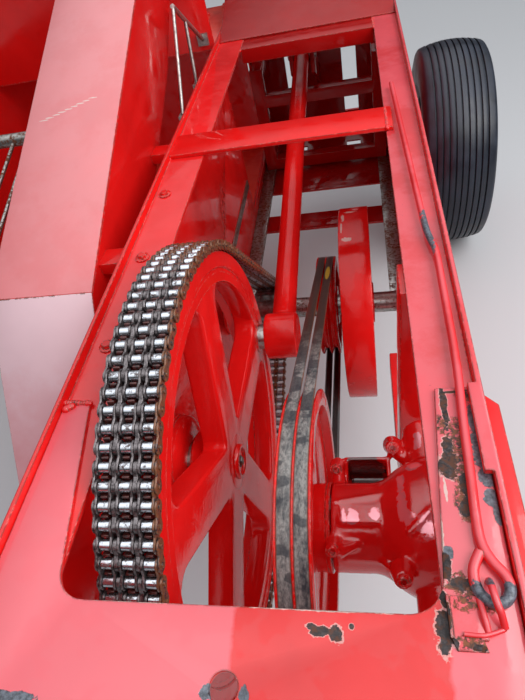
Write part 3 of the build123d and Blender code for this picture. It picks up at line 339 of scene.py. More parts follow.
@once
def paint(name, painted_sheen=0.0, wet=0.5, chips=0.3, dirt=0.0, cast=False, ior=1.5, wear=0.003,
          level=1.0, spots=(), rusted=(), grey=(), bright=(), pale=(), shade_patches=(), sheen_bands=(),
          painted_sheen_tone=None, tear=0.45):
    """Return red enamel. spots, rusted, grey, bright, pale and black are torn patches of dark
    pits, rust, wet steel, primer, painted glare and painted shade, each as its middle and half
    sizes in millimetres. bloom and painted_sheen_tone give a painted sheen, a stand-in for the
    sky's reflection, on the faces that look up, and veil holds the ranges along X where that
    painted sheen lies over the paint. A level below 1 darkens the red as painted shade."""
    c = colours()
    f = Finish(name)
    broad = f.noise(130, 4, 0.6)
    middle = f.noise(28, 4, 0.62, shift=3.1)
    fine = f.noise(5, 4, 0.65, shift=7.7)
    # A level below 1 is painted shade on the whole red and its painted sheen.
    red = f.mix(f.grade(broad, 0.35, 0.68), tone(c.paint, 0.86 * level), tone(c.paint, level))
    red = f.mix(f.both(f.grade(middle, 0.58, 0.70), 0.14), red, tone(c.paint, 0.6 * level))
    # Painted sheen: a pale pink stand-in for the sky's reflection on the faces that look up,
    # torn at its edges.
    up = f.grade(f.facing("Z"), 0.30, 0.95)
    torn = f.grade(f.plus(broad, f.noise(14, 4, 0.7), 0.22), 0.52, 0.64)
    sheen_and_steel_film = f.both(f.both(up, painted_sheen), f.grade(torn, 0.0, 1.0, 1.0 - tear, 1.0))
    # Painted glare: pale patches of painted reflection.
    glare = f.patches(pale, 1.0, 11, 0.10) if pale else None
    across = f.plus(f.along("X"), f.math("SUBTRACT", middle, 0.5), 0.012)
    # The bands along X add stronger painted sheen on the faces that look up.
    for low, high in sheen_bands:
        inside = f.both(f.grade(across, low / 1000, low / 1000 + 0.004),
                        f.grade(across, high / 1000, high / 1000 - 0.004))
        sheen_and_steel_film = f.either(sheen_and_steel_film, f.both(f.both(inside, up), 0.86))
    # The red turns to the pale pink of the painted sheen.
    sheen_colour = painted_sheen_tone or tone(c.painted_sheen, level)
    red = f.mix(sheen_and_steel_film, red, f.mix(f.grade(broad, 0.3, 0.7), tone(sheen_colour, 0.93), sheen_colour))
    # The glare patches paint a pale pink reflection over the red.
    if glare:
        red = f.mix(f.both(glare, 0.85), red, GLARE)
    low = f.grade(f.along("Z"), 0.0, -0.24)
    muck = f.both(f.grade(f.plus(middle, low, 0.16), 0.74 - 0.22 * dirt, 0.90),
                  min(0.9, dirt * 1.5))
    red = f.mix(muck, red, MUCK)
    # Painted shade: these patches turn the red a very dark brown where shade falls, as in a
    # pocket.
    if shade_patches:
        red = f.mix(f.both(f.patches(shade_patches, 0.45, 14, 0.12), 0.92), red, tone(c.oil, 1.4))
    edge = f.edges(wear)
    torn_edge = f.both(edge, f.grade(f.plus(f.noise(11, 4, 0.7, shift=1.3), broad, 0.5),
                                     0.55, 1.0))
    speck = f.grade(f.plus(f.noise(8, 5, 0.75, shift=5.0), broad, 0.35),
                    0.96 - 0.09 * chips, 0.97 - 0.09 * chips)
    bare = f.either(f.grade(torn_edge, 0.62 - 0.45 * chips, 0.66 - 0.45 * chips), speck)
    halo = f.either(f.grade(torn_edge, 0.50 - 0.45 * chips, 0.60 - 0.45 * chips), speck)
    primer = f.grade(torn_edge, 0.44 - 0.45 * chips, 0.50 - 0.45 * chips)
    crust = f.noise(4.2, 4, 0.7, shift=2.2)
    if spots:
        primer = f.either(primer, f.patches(spots, 1.0, 8, 0.05, 1.22))
    if bright:
        primer = f.either(primer, f.both(f.patches(bright, 1.1, 6, 0.1), 1.7))
    red = f.mix(f.both(primer, 0.55), red, PRIMER)
    rust = f.mix(f.grade(fine, 0.42, 0.60), tone(c.rust, 0.30), c.rust)
    colour = f.mix(halo, red, rust)
    colour = f.mix(f.both(bare, f.grade(fine, 0.44, 0.54)), colour, c.bare)
    if rusted:
        scab = f.both(f.patches(rusted, 0.9, 9, 0.1), f.grade(crust, 0.43, 0.49))
        brown = f.mix(f.grade(fine, 0.40, 0.56), *SCAB)
        colour = f.mix(scab, colour, brown)
        halo = f.either(halo, scab)
    if grey:
        sheen_and_steel_film = f.patches(grey, 0.9, 9, 0.05)
        steel = f.mix(f.grade(crust, 0.38, 0.60), *WET_STEEL)
        colour = f.mix(sheen_and_steel_film, colour, steel)
        halo = f.either(halo, f.both(sheen_and_steel_film, 0.55))
    if spots:
        pits = f.patches(spots, 1.0, 8, 0.04)
        scale = f.mix(f.grade(crust, 0.46, 0.66), *PITS)
        scale = f.mix(f.grade(f.noise(6, 4, 0.7, shift=6.6), 0.46, 0.58), scale,
                      tone(c.rust, 0.40))
        colour = f.mix(pits, colour, scale)
        halo = f.either(halo, f.both(pits, 1.3))
    damp = f.grade(f.plus(f.noise(45, 4, 0.6, shift=9.0), fine, 0.1),
                   0.62 - 0.2 * wet, 0.64 - 0.2 * wet)
    rough = f.grade(damp, 0.0, 1.0, 0.26 if cast else 0.22, 0.07)
    rough = f.plus(rough, f.either(halo, muck), 0.5, clamp=True)
    peel = f.bump(f.noise(2.2, 2), 0.08 if cast else 0.03, 0.0006)
    skin = f.bump(f.noise(70, 2), 0.25, 0.0025, peel)
    if cast:
        skin = f.bump(f.noise(6.5, 3, 0.6), 0.28, 0.0010, skin)
    skin = f.bump(f.math("SUBTRACT", 1.0, halo), 0.6, 0.0006, skin)
    # The glare patches are also made partly metallic, to brighten the painted reflection.
    return f.done(colour, rough, f.both(glare, 0.45) if glare else 0.0, skin, ior)


@once
def worn_steel(name, rust, bright, rough=0.3):
    """Return bare steel with rust and oil on it."""
    c = colours()
    f = Finish(name)
    grain = 7.0
    broad = f.noise(grain * 5, 4, 0.6)
    fine = f.noise(grain, 5, 0.7, shift=2.0)
    rusty = f.grade(f.plus(fine, broad, 0.5), 0.98 - 0.5 * rust, 1.08 - 0.5 * rust)
    metal = f.mix(f.grade(fine, 0.35, 0.7), tone(c.steel, bright), tone(c.steel, 0.45 * bright))
    brown = f.mix(f.noise(grain / 3, 3), c.rust, tone(c.rust, 0.4))
    colour = f.mix(rusty, metal, brown)
    shine = f.plus(rough, rusty, 0.45, clamp=True)
    skin = f.bump(f.noise(grain / 2, 4), 0.25, 0.0006)
    return f.done(colour, shine, f.math("SUBTRACT", 1.0, f.both(rusty, 0.85)), skin)


@once
def oily_plate(name):
    """Return the chain's link plates: oily grey, brown on the right side and at the rear."""
    f = Finish(name)
    fine = f.noise(5, 4, 0.7)
    broad = f.noise(38, 3, 0.6, shift=4.0)
    side = f.grade(f.along("X"), 0.027, 0.030)
    rear = f.grade(f.along("Y"), 0.02, 0.16)
    brown = f.plus(f.both(f.either(side, rear), 0.75), broad, 0.5, clamp=True)
    brown = f.both(brown, f.grade(fine, 0.30, 0.55))
    grey = f.mix(f.grade(fine, 0.35, 0.65), *OILY_GREY)
    rust = f.mix(f.noise(3, 3), *CHAIN_RUST)
    colour = f.mix(f.grade(brown, 0.35, 0.75), grey, rust)
    shine = f.grade(fine, 0.3, 0.7, 0.22, 0.5)
    skin = f.bump(f.noise(2.5, 3), 0.3, 0.0004)
    return f.done(colour, shine, f.grade(brown, 0.2, 0.8, 0.75, 0.2), skin, coat=0.4)


@once
def rubbed_roller(name):
    """Return the rollers: rubbed bright in front, with oil and blotches, darker towards the
    rear, and with painted shade towards the bottom of the loop.
    """
    f = Finish(name)
    fine = f.noise(3.2, 4, 0.7)
    blot = f.noise(9, 3, 0.6, shift=6.0)
    dark = f.grade(f.plus(f.both(fine, 0.5), blot, 0.6), 0.56, 0.66)
    # Painted shade: the rollers darken towards the bottom; they also darken towards the rear.
    low = f.grade(f.along("Z"), 0.02, -0.20)
    rear = f.grade(f.along("Y"), 0.10, 0.24)
    dark = f.plus(dark, f.either(low, rear), 0.45, clamp=True)
    return f.done(f.mix(dark, *ROLLER), f.grade(dark, 0, 1, 0.17, 0.42),
                  f.grade(dark, 0, 1, 0.95, 0.55), f.bump(fine, 0.25, 0.0003), coat=0.3)


@once
def tooth_steel(name):
    """Return the tips of the teeth: red-brown and oily in patches."""
    f = Finish(name)
    fine = f.noise(4, 4, 0.7)
    colour = f.mix(f.grade(fine, 0.45, 0.6), *TOOTH)
    return f.done(colour, 0.35, 0.2, f.bump(fine, 0.3, 0.0004), coat=0.3)


@once
def belt_cover(name):
    """Return the belts' cover: dusty fibres on the front half, smooth and brown behind, and
    painted shade on the lower strand at the rear.
    """
    f = Finish(name)
    run = f.node("UVMap", uv_map="run").outputs[0]
    fibres = f.noise(4.0, 5, 0.8, stretch=(0.6, 1.0, 1.0), where=run)
    scuffs = f.noise(22, 5, 0.75, stretch=(0.4, 1.0, 1.0), where=run)
    clean = f.noise(48, 3, 0.6, stretch=(1.0, 0.6, 1.0), where=run, shift=1.9)
    side = f.grade(f.math("ABSOLUTE", f.part(run, "Y")), 0.0062, 0.0079)
    rear = f.grade(f.plus(f.along("Y"), scuffs, 0.16), 0.15, 0.29)
    dust = f.both(f.grade(scuffs, 0.37, 0.54), f.grade(fibres, 0.36, 0.58, 0.2, 1.0))
    dust = f.both(dust, f.grade(clean, 0.50, 0.52, 1.0, 0.25))
    smooth = f.mix(f.grade(fibres, 0.3, 0.7), *BELT_SMOOTH)
    colour = f.mix(rear, f.mix(dust, *BELT_DUST), smooth)
    colour = f.mix(f.both(side, f.grade(scuffs, 0.35, 0.6)), colour, BELT_SIDE)
    # Painted shade: the belts go very dark low down at the rear.
    shaded_below = f.grade(f.along("Z"), -0.06, -0.12)
    colour = f.mix(f.both(shaded_below, rear), colour, BELT_SHADE)
    mark = f.patches(marks(-28, 40, (158, 468, 5, 44)), 0.15, 4, 0.1)
    colour = f.mix(f.both(mark, 0.9), colour, BELT_MARK)
    shine = f.grade(rear, 0, 1, 0.62, 0.30)
    skin = f.bump(fibres, 0.5, 0.0005)
    skin = f.bump(scuffs, 0.4, 0.0008, skin)
    return f.done(colour, shine, 0.0, skin)


@once
def tyre_rubber(name):
    """Return wet tyre rubber, blotched and finely rough; its blue tint is a painted sheen."""
    c = colours()
    f = Finish(name)
    fine = f.noise(3.5, 4, 0.7)
    broad = f.noise(60, 4, 0.6)
    colour = f.mix(f.grade(broad, 0.35, 0.7), c.rubber, tone(c.rubber, 1.9))
    shine = f.grade(f.plus(f.both(broad, 0.6), fine, 0.4), 0.38, 0.6, 0.28, 0.5)
    return f.done(colour, shine, 0.0, f.bump(fine, 0.25, 0.0006))


def only(kind, geometry):
    """Return the points or the edges of what a bmesh operator gives back."""
    return [part for part in geometry if isinstance(part, kind)]


def close_up(shape, reach):
    """Join the points that lie within a reach in metres, and turn the faces outwards."""
    bmesh.ops.remove_doubles(shape, verts=shape.verts, dist=reach)
    bmesh.ops.recalc_face_normals(shape, faces=shape.faces)


def sharp_edges(shape, angle):
    """Return the edges whose two faces meet at more than this many degrees."""
    return [edge for edge in shape.edges if edge.calc_face_angle(0.0) > radians(angle)]


def round_edges(shape, edges, width, segments, slide=False):
    """Bevel these edges by a width in metres."""
    bmesh.ops.bevel(shape, geom=edges, offset=width, offset_type="OFFSET", segments=segments,
                    profile=0.5, affect="EDGES", clamp_overlap=False, material=-1,
                    loop_slide=slide)


def add(name, data):
    """Put a mesh, a curve, a lamp or a lens into the scene, and return its object."""
    made = bpy.data.objects.new(name, data)
    bpy.context.scene.collection.objects.link(made)
    return made


def keep(shape, name, finish, body, replaces=(), crease=32.0):
    """Make a bmesh a piece of the machine, with its sharp edges kept sharp."""
    for face in shape.faces:
        face.smooth = True
    for edge in sharp_edges(shape, crease):
        edge.smooth = False
    mesh = bpy.data.meshes.new(name)
    shape.to_mesh(mesh)
    shape.free()
    mesh.materials.append(finish)
    piece = add(name, mesh)
    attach(piece, body)
    if replaces:
        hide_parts(*replaces)


def copy_of(node, dissolve=True):
    """Return a merged copy of a CAD node's mesh."""
    shape = bmesh.new()
    shape.from_mesh(frame["nodes"][node].data)
    bmesh.ops.remove_doubles(shape, verts=shape.verts, dist=1e-5)
    if dissolve:
        bmesh.ops.dissolve_limit(shape, angle_limit=radians(1.0), use_dissolve_boundaries=False,
                                 verts=shape.verts, edges=shape.edges, delimit=set())
    return shape


def soften(node, width, finish):
    """Replace a node with a copy whose edges are rounded by this many millimetres."""
    shape = copy_of(node)
    sharp = sharp_edges(shape, 28.0)
    if sharp:
        round_edges(shape, sharp, width / 1000, 2, slide=True)
    keep(shape, node + "_finish", finish, BODY_OF[node], [node])


def dress(node, finish):
    """Give a CAD node that stays as it is a better material."""
    for holder in frame["nodes"][node].material_slots:
        holder.material = finish


def turn(points, steps, middle=None):
    """Spin an outline of (along X, radius) pairs in millimetres round X, and set the form that
    it makes at a middle."""
    shape = bmesh.new()
    verts = [shape.verts.new((a / 1000, r / 1000, 0)) for a, r in points]
    lines = [shape.edges.new(pair) for pair in zip(verts, verts[1:])]
    bmesh.ops.spin(shape, geom=verts + lines, cent=(0, 0, 0), axis=(1, 0, 0), angle=2 * pi,
                   steps=steps, use_merge=True)
    close_up(shape, 2e-6)
    if middle is not None:
        bmesh.ops.translate(shape, vec=middle, verts=shape.verts)
    return shape


def unit(shape, name):
    """Store a bmesh as a mesh that can be stamped many times."""
    mesh = bpy.data.meshes.new(name)
    shape.to_mesh(mesh)
    shape.free()
    return mesh


def stamp(shape, mesh, matrix=Matrix.Identity(4)):
    """Add a stored mesh to a bmesh, moved by a matrix."""
    moved = mesh.copy()
    moved.transform(matrix)
    shape.from_mesh(moved)
    bpy.data.meshes.remove(moved)


def facing_matrix(place, out, twist=0.0):
    """Return the matrix that takes +X to a direction at a place."""
    out = Vector(out).normalized()
    turn_to = Vector((1, 0, 0)).rotation_difference(out).to_matrix().to_4x4()
    return Matrix.Translation(place) @ turn_to @ Matrix.Rotation(twist, 4, "X")


def block(shape, low, high):
    """Add a block between two corners in millimetres, and return its points."""
    low, high = spot(*low), spot(*high)
    size = high - low
    place = Matrix.Translation((low + high) / 2) @ Matrix.Diagonal((*size, 1.0))
    return bmesh.ops.create_cube(shape, size=1.0, matrix=place)["verts"]


def bar(shape, a, b, radius, end_radius=None, segments=20):
    """Add a round bar between two points in millimetres."""
    a, b = spot(*a), spot(*b)
    turn_to = Vector((0, 0, 1)).rotation_difference(b - a).to_matrix().to_4x4()
    matrix = Matrix.Translation((a + b) / 2) @ turn_to
    bmesh.ops.create_cone(shape, cap_ends=True, segments=segments, radius1=radius / 1000,
                          radius2=(end_radius or radius) / 1000, depth=(b - a).length,
                          matrix=matrix)


def final_form(holder):
    """Return what an object's modifiers or bevel make of it, and drop the object."""
    mesh = bpy.data.meshes.new_from_object(
        holder.evaluated_get(bpy.context.evaluated_depsgraph_get()))
    bpy.data.objects.remove(holder)
    shape = bmesh.new()
    shape.from_mesh(mesh)
    bpy.data.meshes.remove(mesh)
    return shape


def cast(name, shape, finish, node, rounds=4):
    """Grow overlapping shapes together as one casting with soft corners, in place of a node."""
    raw = add(name + "_raw", unit(shape, name + "_raw"))
    skin = raw.modifiers.new("skin", "REMESH")
    skin.mode = "VOXEL"
    skin.voxel_size = sizes().casting_grain
    grown = final_form(raw)
    for _ in range(rounds):
        bmesh.ops.smooth_vert(grown, verts=grown.verts, factor=0.5, use_axis_x=True,
                              use_axis_y=True, use_axis_z=True)
    keep(grown, name, finish, BODY_OF[node], [node], crease=80)


def path_tube(name, points, radius, finish, node):
    """Bend a bar along points in millimetres, in place of a node."""
    curve = bpy.data.curves.new(name, "CURVE")
    curve.dimensions = "3D"
    line = curve.splines.new("NURBS")
    line.points.add(len(points) - 1)
    for point, place in zip(line.points, points):
        point.co = (*spot(*place), 1.0)
    line.order_u = 3
    line.use_endpoint_u = True
    line.resolution_u = 6
    curve.bevel_depth = radius / 1000
    curve.bevel_resolution = 4
    curve.use_fill_caps = True
    shape = final_form(add(name + "_line", curve))
    close_up(shape, 1e-6)
    keep(shape, name, finish, BODY_OF[node], [node], crease=50)


def hex_bolt(across, head, washer):
    """Return a hexagon head on its washer, its seat at x = 0."""
    r = across / 2 / cos(pi / 6)
    shape = turn([(0, 0), (0, washer - 0.6), (0.6, washer), (2.2, washer), (2.6, washer - 0.8),
                  (2.6, 0)], 24)
    lump = turn([(2.0, 0), (2.0, r), (head - 1.6, r), (head, r * 0.86), (head, r * 0.5),
                 (head + 0.4, 0)], 6)
    stamp(shape, unit(lump, "bolt_lump"))
    return unit(shape, "hex_bolt")


def socket_bolt(radius, head):
    """Return a round bolt head with a deep hexagon socket, its seat at x = 0."""
    shape = turn([(0, 0), (0, radius + 2.5), (1.8, radius + 2.5), (1.8, radius),
                  (head - 1.2, radius), (head, radius - 1.2), (head, radius * 0.62)], 24)
    well = turn([(head, radius * 0.66), (head - 0.5, radius * 0.56), (head - 7, radius * 0.56),
                 (head - 7, 0)], 6)
    bmesh.ops.reverse_faces(well, faces=well.faces)
    stamp(shape, unit(well, "bolt_well"))
    return unit(shape, "socket_bolt")


def weld_bead(shape, a, b, radius, seed):
    """Lay a weld bead between two points in millimetres."""
    chance = random.Random(seed)
    a, b = Vector(a), Vector(b)
    count = max(2, int((b - a).length / (radius * 0.9)))
    for i in range(count + 1):
        place = a.lerp(b, i / count)
        size = radius * chance.uniform(0.85, 1.12) / 1000
        matrix = Matrix.Translation(spot(*place)) @ Matrix.Diagonal((size, size, size * 0.8, 1))
        bmesh.ops.create_icosphere(shape, subdivisions=2, radius=1.0, matrix=matrix)


def loop_angles(near, far, near_r, far_r):
    """Return the lean of a loop round two wheels, half the angle that it leaves free on the
    near one, and the length of a straight side."""
    gap = Vector((far[0] - near[0], far[1] - near[1]))
    wrap = acos((near_r - far_r) / gap.length)
    return atan2(gap.y, gap.x), wrap, gap.length * sin(wrap)


def loop_frame(near, far, near_r, far_r, run):
    """Return the place, the outward direction and the length of a loop round two wheels."""
    lean, wrap, straight = loop_angles(near, far, near_r, far_r)
    first, last = (2 * pi - 2 * wrap) * near_r, 2 * wrap * far_r
    whole = first + last + 2 * straight
    run %= whole
    if run < first:
        angle, centre, radius, slide = lean + wrap + run / near_r, near, near_r, 0.0
    elif run < first + straight:
        angle, centre, radius, slide = lean - wrap, near, near_r, run - first
    elif run < first + straight + last:
        angle = lean - wrap + (run - first - straight) / far_r
        centre, radius, slide = far, far_r, 0.0
    else:
        angle, centre, radius = lean + wrap, far, far_r
        slide = run - first - straight - last
    out = Vector((0, cos(angle), sin(angle)))
    place = Vector((0, *centre)) + out * radius + Vector((0, -out.z, out.y)) * slide
    return place, out, whole


def arc(shape, vert, centre, angle, steps):
    """Spin a point round X and return the last point."""
    made = bmesh.ops.spin(shape, geom=[vert], cent=centre, axis=(1, 0, 0), angle=angle,
                          steps=steps, use_merge=False)
    return only(POINT, made["geom_last"])[0]


def wheel_web():
    """Return the wheel's spokes, joined at the hub and inside the rim. half is a spoke's half
    width, edge the windows' outer radius, corner and nick their outer and inner rounding."""
    half, edge, corner, nick = 0.037, 0.288, 0.030, 0.011
    hub, rim, thick = 0.044, 0.30, 0.0384
    share = pi / SPOKES
    reach = half / sin(share)
    ahead = Vector((0, cos(share), sin(share)))
    beside = Vector((0, -sin(share), cos(share)))
    near = Vector((0, reach + nick / sin(share), 0))
    far = ahead * ((edge - corner)**2 - (half + corner)**2)**0.5 - beside * (half + corner)
    shape = bmesh.new()
    first = shape.verts.new((0, rim, 0))
    point = shape.verts.new((0, edge, 0))
    shape.edges.new((first, point))
    point = arc(shape, point, (0, 0, 0), atan2(far.z, far.y), 6)
    facing = atan2(beside.z, beside.y)
    point = arc(shape, point, far, facing - atan2(far.z, far.y), 7)
    join = shape.verts.new(near + beside * nick)
    shape.edges.new((point, join))
    point = arc(shape, join, near, pi - facing, 4)
    join = shape.verts.new((0, hub, 0))
    shape.edges.new((point, join))
    point = arc(shape, join, (0, 0, 0), share, 4)
    join = shape.verts.new(ahead * rim)
    shape.edges.new((point, join))
    arc(shape, join, (0, 0, 0), -share, 6)
    bmesh.ops.remove_doubles(shape, verts=shape.verts, dist=1e-6)
    bmesh.ops.contextual_create(shape, geom=shape.edges[:])
    bmesh.ops.mirror(shape, geom=shape.verts[:] + shape.edges[:] + shape.faces[:],
                     axis="Z", merge_dist=1e-6)
    fifth = unit(shape, "fifth")
    shape = bmesh.new()
    for i in range(SPOKES):
        angle = FIRST_SPOKE + 180 / SPOKES + 360 / SPOKES * i
        stamp(shape, fifth, Matrix.Rotation(radians(angle), 4, "X"))
    close_up(shape, 1e-5)
    lifted = bmesh.ops.extrude_face_region(shape, geom=shape.faces[:])["geom"]
    bmesh.ops.translate(shape, vec=(thick, 0, 0), verts=only(POINT, lifted))
    bmesh.ops.translate(shape, vec=(-0.0130, 0, 0), verts=shape.verts)
    bmesh.ops.recalc_face_normals(shape, faces=shape.faces)
    rims = [e for e in sharp_edges(shape, 60)
            if 0.048 < (e.verts[0].co.yz.length + e.verts[1].co.yz.length) / 2 < 0.295]
    round_edges(shape, rims, 0.0045, 3)
    bmesh.ops.translate(shape, vec=HUB, verts=shape.verts)
    return shape


class BAY_OT_stage(bpy.types.Operator):
    """Lay the pale floor, light it softly and set the camera"""
    bl_idname = "bay.stage"
    bl_label = "Stage"

    def execute(self, context):
        scene = context.scene
        scene.view_settings.view_transform = "Standard"
        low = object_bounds()[0][2]
        shape = bmesh.new()
        bmesh.ops.create_grid(shape, x_segments=2, y_segments=2, size=sizes().floor_size / 2,
                              matrix=Matrix.Translation((0, -0.9, low)))
        floor = add("floor", unit(shape, "floor"))
        f = Finish("floor")
        seen = f.node("LightPath").outputs["Is Camera Ray"]
        floor.data.materials.append(f.done(f.mix(seen, *FLOOR), 0.9))
        floor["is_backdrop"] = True
        world = bpy.data.worlds.new("sky")
        world.use_nodes = True
        nodes, links = world.node_tree.nodes, world.node_tree.links
        parts = nodes.new("ShaderNodeSeparateXYZ")
        links.new(nodes.new("ShaderNodeTexCoord").outputs["Generated"], parts.inputs[0])
        soft = nodes.new("ShaderNodeMapRange")
        gloss = nodes.new("ShaderNodeMapRange")
        for made, ends in ((soft, (0.0, 1.0, 0.30, 0.66)), (gloss, (0.35, 1.0, 0.05, 2.3))):
            links.new(parts.outputs[2], made.inputs[0])
            for socket, number in zip(list(made.inputs)[1:5], ends):
                socket.default_value = number
        pick = nodes.new("ShaderNodeMix")
        links.new(nodes.new("ShaderNodeLightPath").outputs["Is Glossy Ray"], pick.inputs[0])
        links.new(soft.outputs[0], pick.inputs[2])
        links.new(gloss.outputs[0], pick.inputs[3])
        nodes["Background"].inputs["Color"].default_value = SKY
        links.new(pick.outputs[0], nodes["Background"].inputs["Strength"])
        scene.world = world
        lamp = bpy.data.lights.new("soft_box", "AREA")
        lamp.energy = 66.0
        lamp.size = 2.4
        light = add("soft_box", lamp)
        aim = Vector((0.0, -1.4, 0.0))
        light.location = (1.9, -1.9, 1.9)
        light.rotation_euler = (light.location - aim).to_track_quat("Z", "Y").to_euler()
        right = Vector((0.9779, 0.0978, -0.185))
        up = Vector((0.0531, 0.7393, 0.6712))
        back = Vector((0.2024, -0.6662, 0.7178))
        lens = bpy.data.cameras.new("camera")
        lens.lens = 27.5
        eye = add("camera", lens)
        turned = Matrix((right, up, back)).transposed().to_4x4()
        eye.matrix_world = Matrix.Translation((0.1300, -2.1337, 0.7168)) @ turned
        scene.camera = eye
        return {"FINISHED"}


class BAY_OT_plates(bpy.types.Operator):
    """Round and paint the rails, plates, bars and covers of the frame"""
    bl_idname = "bay.plates"
    bl_label = "Plates"

    def execute(self, context):
        deep = 9
        # The deck carries a faint painted sheen on its faces that look up, and two bands of
        # stronger painted sheen along X.
        deck = paint(
            "deck_paint", painted_sheen=0.05, wet=0.6, chips=0.6, ior=1.6,
            sheen_bands=((-140, 127), (286, 360)),
            spots=marks(
                DECK_TOP, deep, (194, -315, 9, 3.6), (205, -316, 5, 6), (187, -312, 4, 3),
                (218, -310, 2, 2), (311, -104, 3.2, 22), (308, -150, 5, 10), (306, -172, 8, 14),
                (319, -190, 5, 12), (317, -212, 6, 9), (292, -262, 5, 12), (302, -276, 7, 5),
                (286, -311, 6, 14), (288, -288, 3, 6)) + marks(DECK_TOP, 6, (318, -88, 7, 1.6)),
            grey=marks(
                DECK_TOP, deep, (113, -360, 8, 6), (139, -361, 4, 6), (335, -125, 4, 20),
                (335, -152, 6, 22), (339, -182, 8, 12), (338, -202, 7, 8), (341, -219, 4, 10),
                (296, -251, 4, 6), (-50, -374, 26, 4)),
            bright=marks(
                DECK_TOP, 6, (190, -299, 62, 1.5), (40, -299, 40, 0.9), (293, -232, 1.6, 24),
                (301, -196, 1.2, 12)),
            rusted=marks(
                DECK_TOP, deep, (319, -136, 11, 16), (318, -168, 10, 28), (316, -204, 9, 20),
                (306, -128, 5, 12), (303, -276, 12, 8), (310, -290, 16, 8), (335, -92, 14, 8)))
        # The rails, strip and walls carry painted sheen on their faces that look up, strongest
        # on the right rail.
        rail_left = paint("left_rail_paint", painted_sheen=0.06, chips=0.55)
        rail_right = paint("right_rail_paint", painted_sheen=0.68, chips=0.7)
        strip = paint("strip_paint", painted_sheen=0.10, chips=0.6)
        wall = paint("wall_paint", painted_sheen=0.1, wet=0.4, dirt=0.1)
        bars = paint("bar_paint", wet=0.4, dirt=0.04, ior=1.36)
        # The far bars are darkened to half as painted shade; the feed parts carry an orange
        # painted sheen.
        far = paint("far_bar_paint", wet=0.4, dirt=0.15, level=0.5, ior=1.36)
        feed = paint("feed_paint", painted_sheen=0.5, wet=0.2, dirt=0.06, painted_sheen_tone=(0.95, 0.16, 0.10))
        rubbed = worn_steel("rubbed_strip", 0.5, 0.7)
        rusty = worn_steel("rusty_rod", 0.5, 0.6, 0.4)
        pale_rod = worn_steel("pale_rod", 0.15, 1.0, 0.5)
        table = [
            ("deck", 1.6, deck), ("rail_left", 1.6, rail_left), ("rail_right", 1.6, rail_right),
            ("side_plate_left", 1.2, wall), ("side_plate_right", 1.2, wall),
            ("rear_flange", 1.5, bars), ("cross_bar", 2.2, bars), ("rear_bar", 3.0, far),
            ("rear_cover", 1.2, far), ("cover_posts", 1.5, far), ("floor_bar", 1.5, far),
            ("post_right", 3.0, wall), ("lower_rail", 3.0, wall), ("chamber_floor", 1.2, far),
            ("gearbox_plate", 1.5, strip), ("feed_panel", 0.9, feed),
            ("feed_trough", 0.9, feed), ("plunger_frame", 2.5, far), ("plunger_face", 1.5, far),
            ("plunger_ears", 1.5, far), ("hood_brackets", 1.2, bars),
            ("plunger_guides", 1.0, rubbed), ("wear_strips", 1.0, rubbed),
            ("stub_axle", 1.2, bars),
        ]
        for node, width, finish in table:
            soften(node, width, finish)
        for node, finish in (("wind_guard", rusty), ("trip_rods", pale_rod)):
            dress(node, finish)
        return {"FINISHED"}


class BAY_OT_hood(bpy.types.Operator):
    """Round and paint the feed cover on the left"""
    bl_idname = "bay.hood"
    bl_label = "Feed cover"

    def execute(self, context):
        scratch = tuple(((-317 + 11.5 * i, 482 + 4.2 * i, 380 + 1.7 * i), (8, 1.3, 4))
                        for i in range(9))
        # The top and the nose carry a strong painted sheen, the nose's nearly white pink.
        top = paint("hood_top_paint", painted_sheen=0.97, ior=1.6, tear=0.10,
                    painted_sheen_tone=(0.90, 0.27, 0.29), bright=scratch)
        nose = paint("hood_nose_paint", painted_sheen=1.9, ior=1.6, tear=0.10,
                     painted_sheen_tone=(0.98, 0.66, 0.72))
        # The sides are darkened to 0.8 as painted shade.
        side = paint("hood_side_paint", wet=0.4, dirt=0.05, level=0.8)
        for node, finish in (("hood_top", top), ("hood_nose", nose), ("hood_side_right", side),
                             ("hood_side_left", side)):
            soften(node, 1.0, finish)
        return {"FINISHED"}


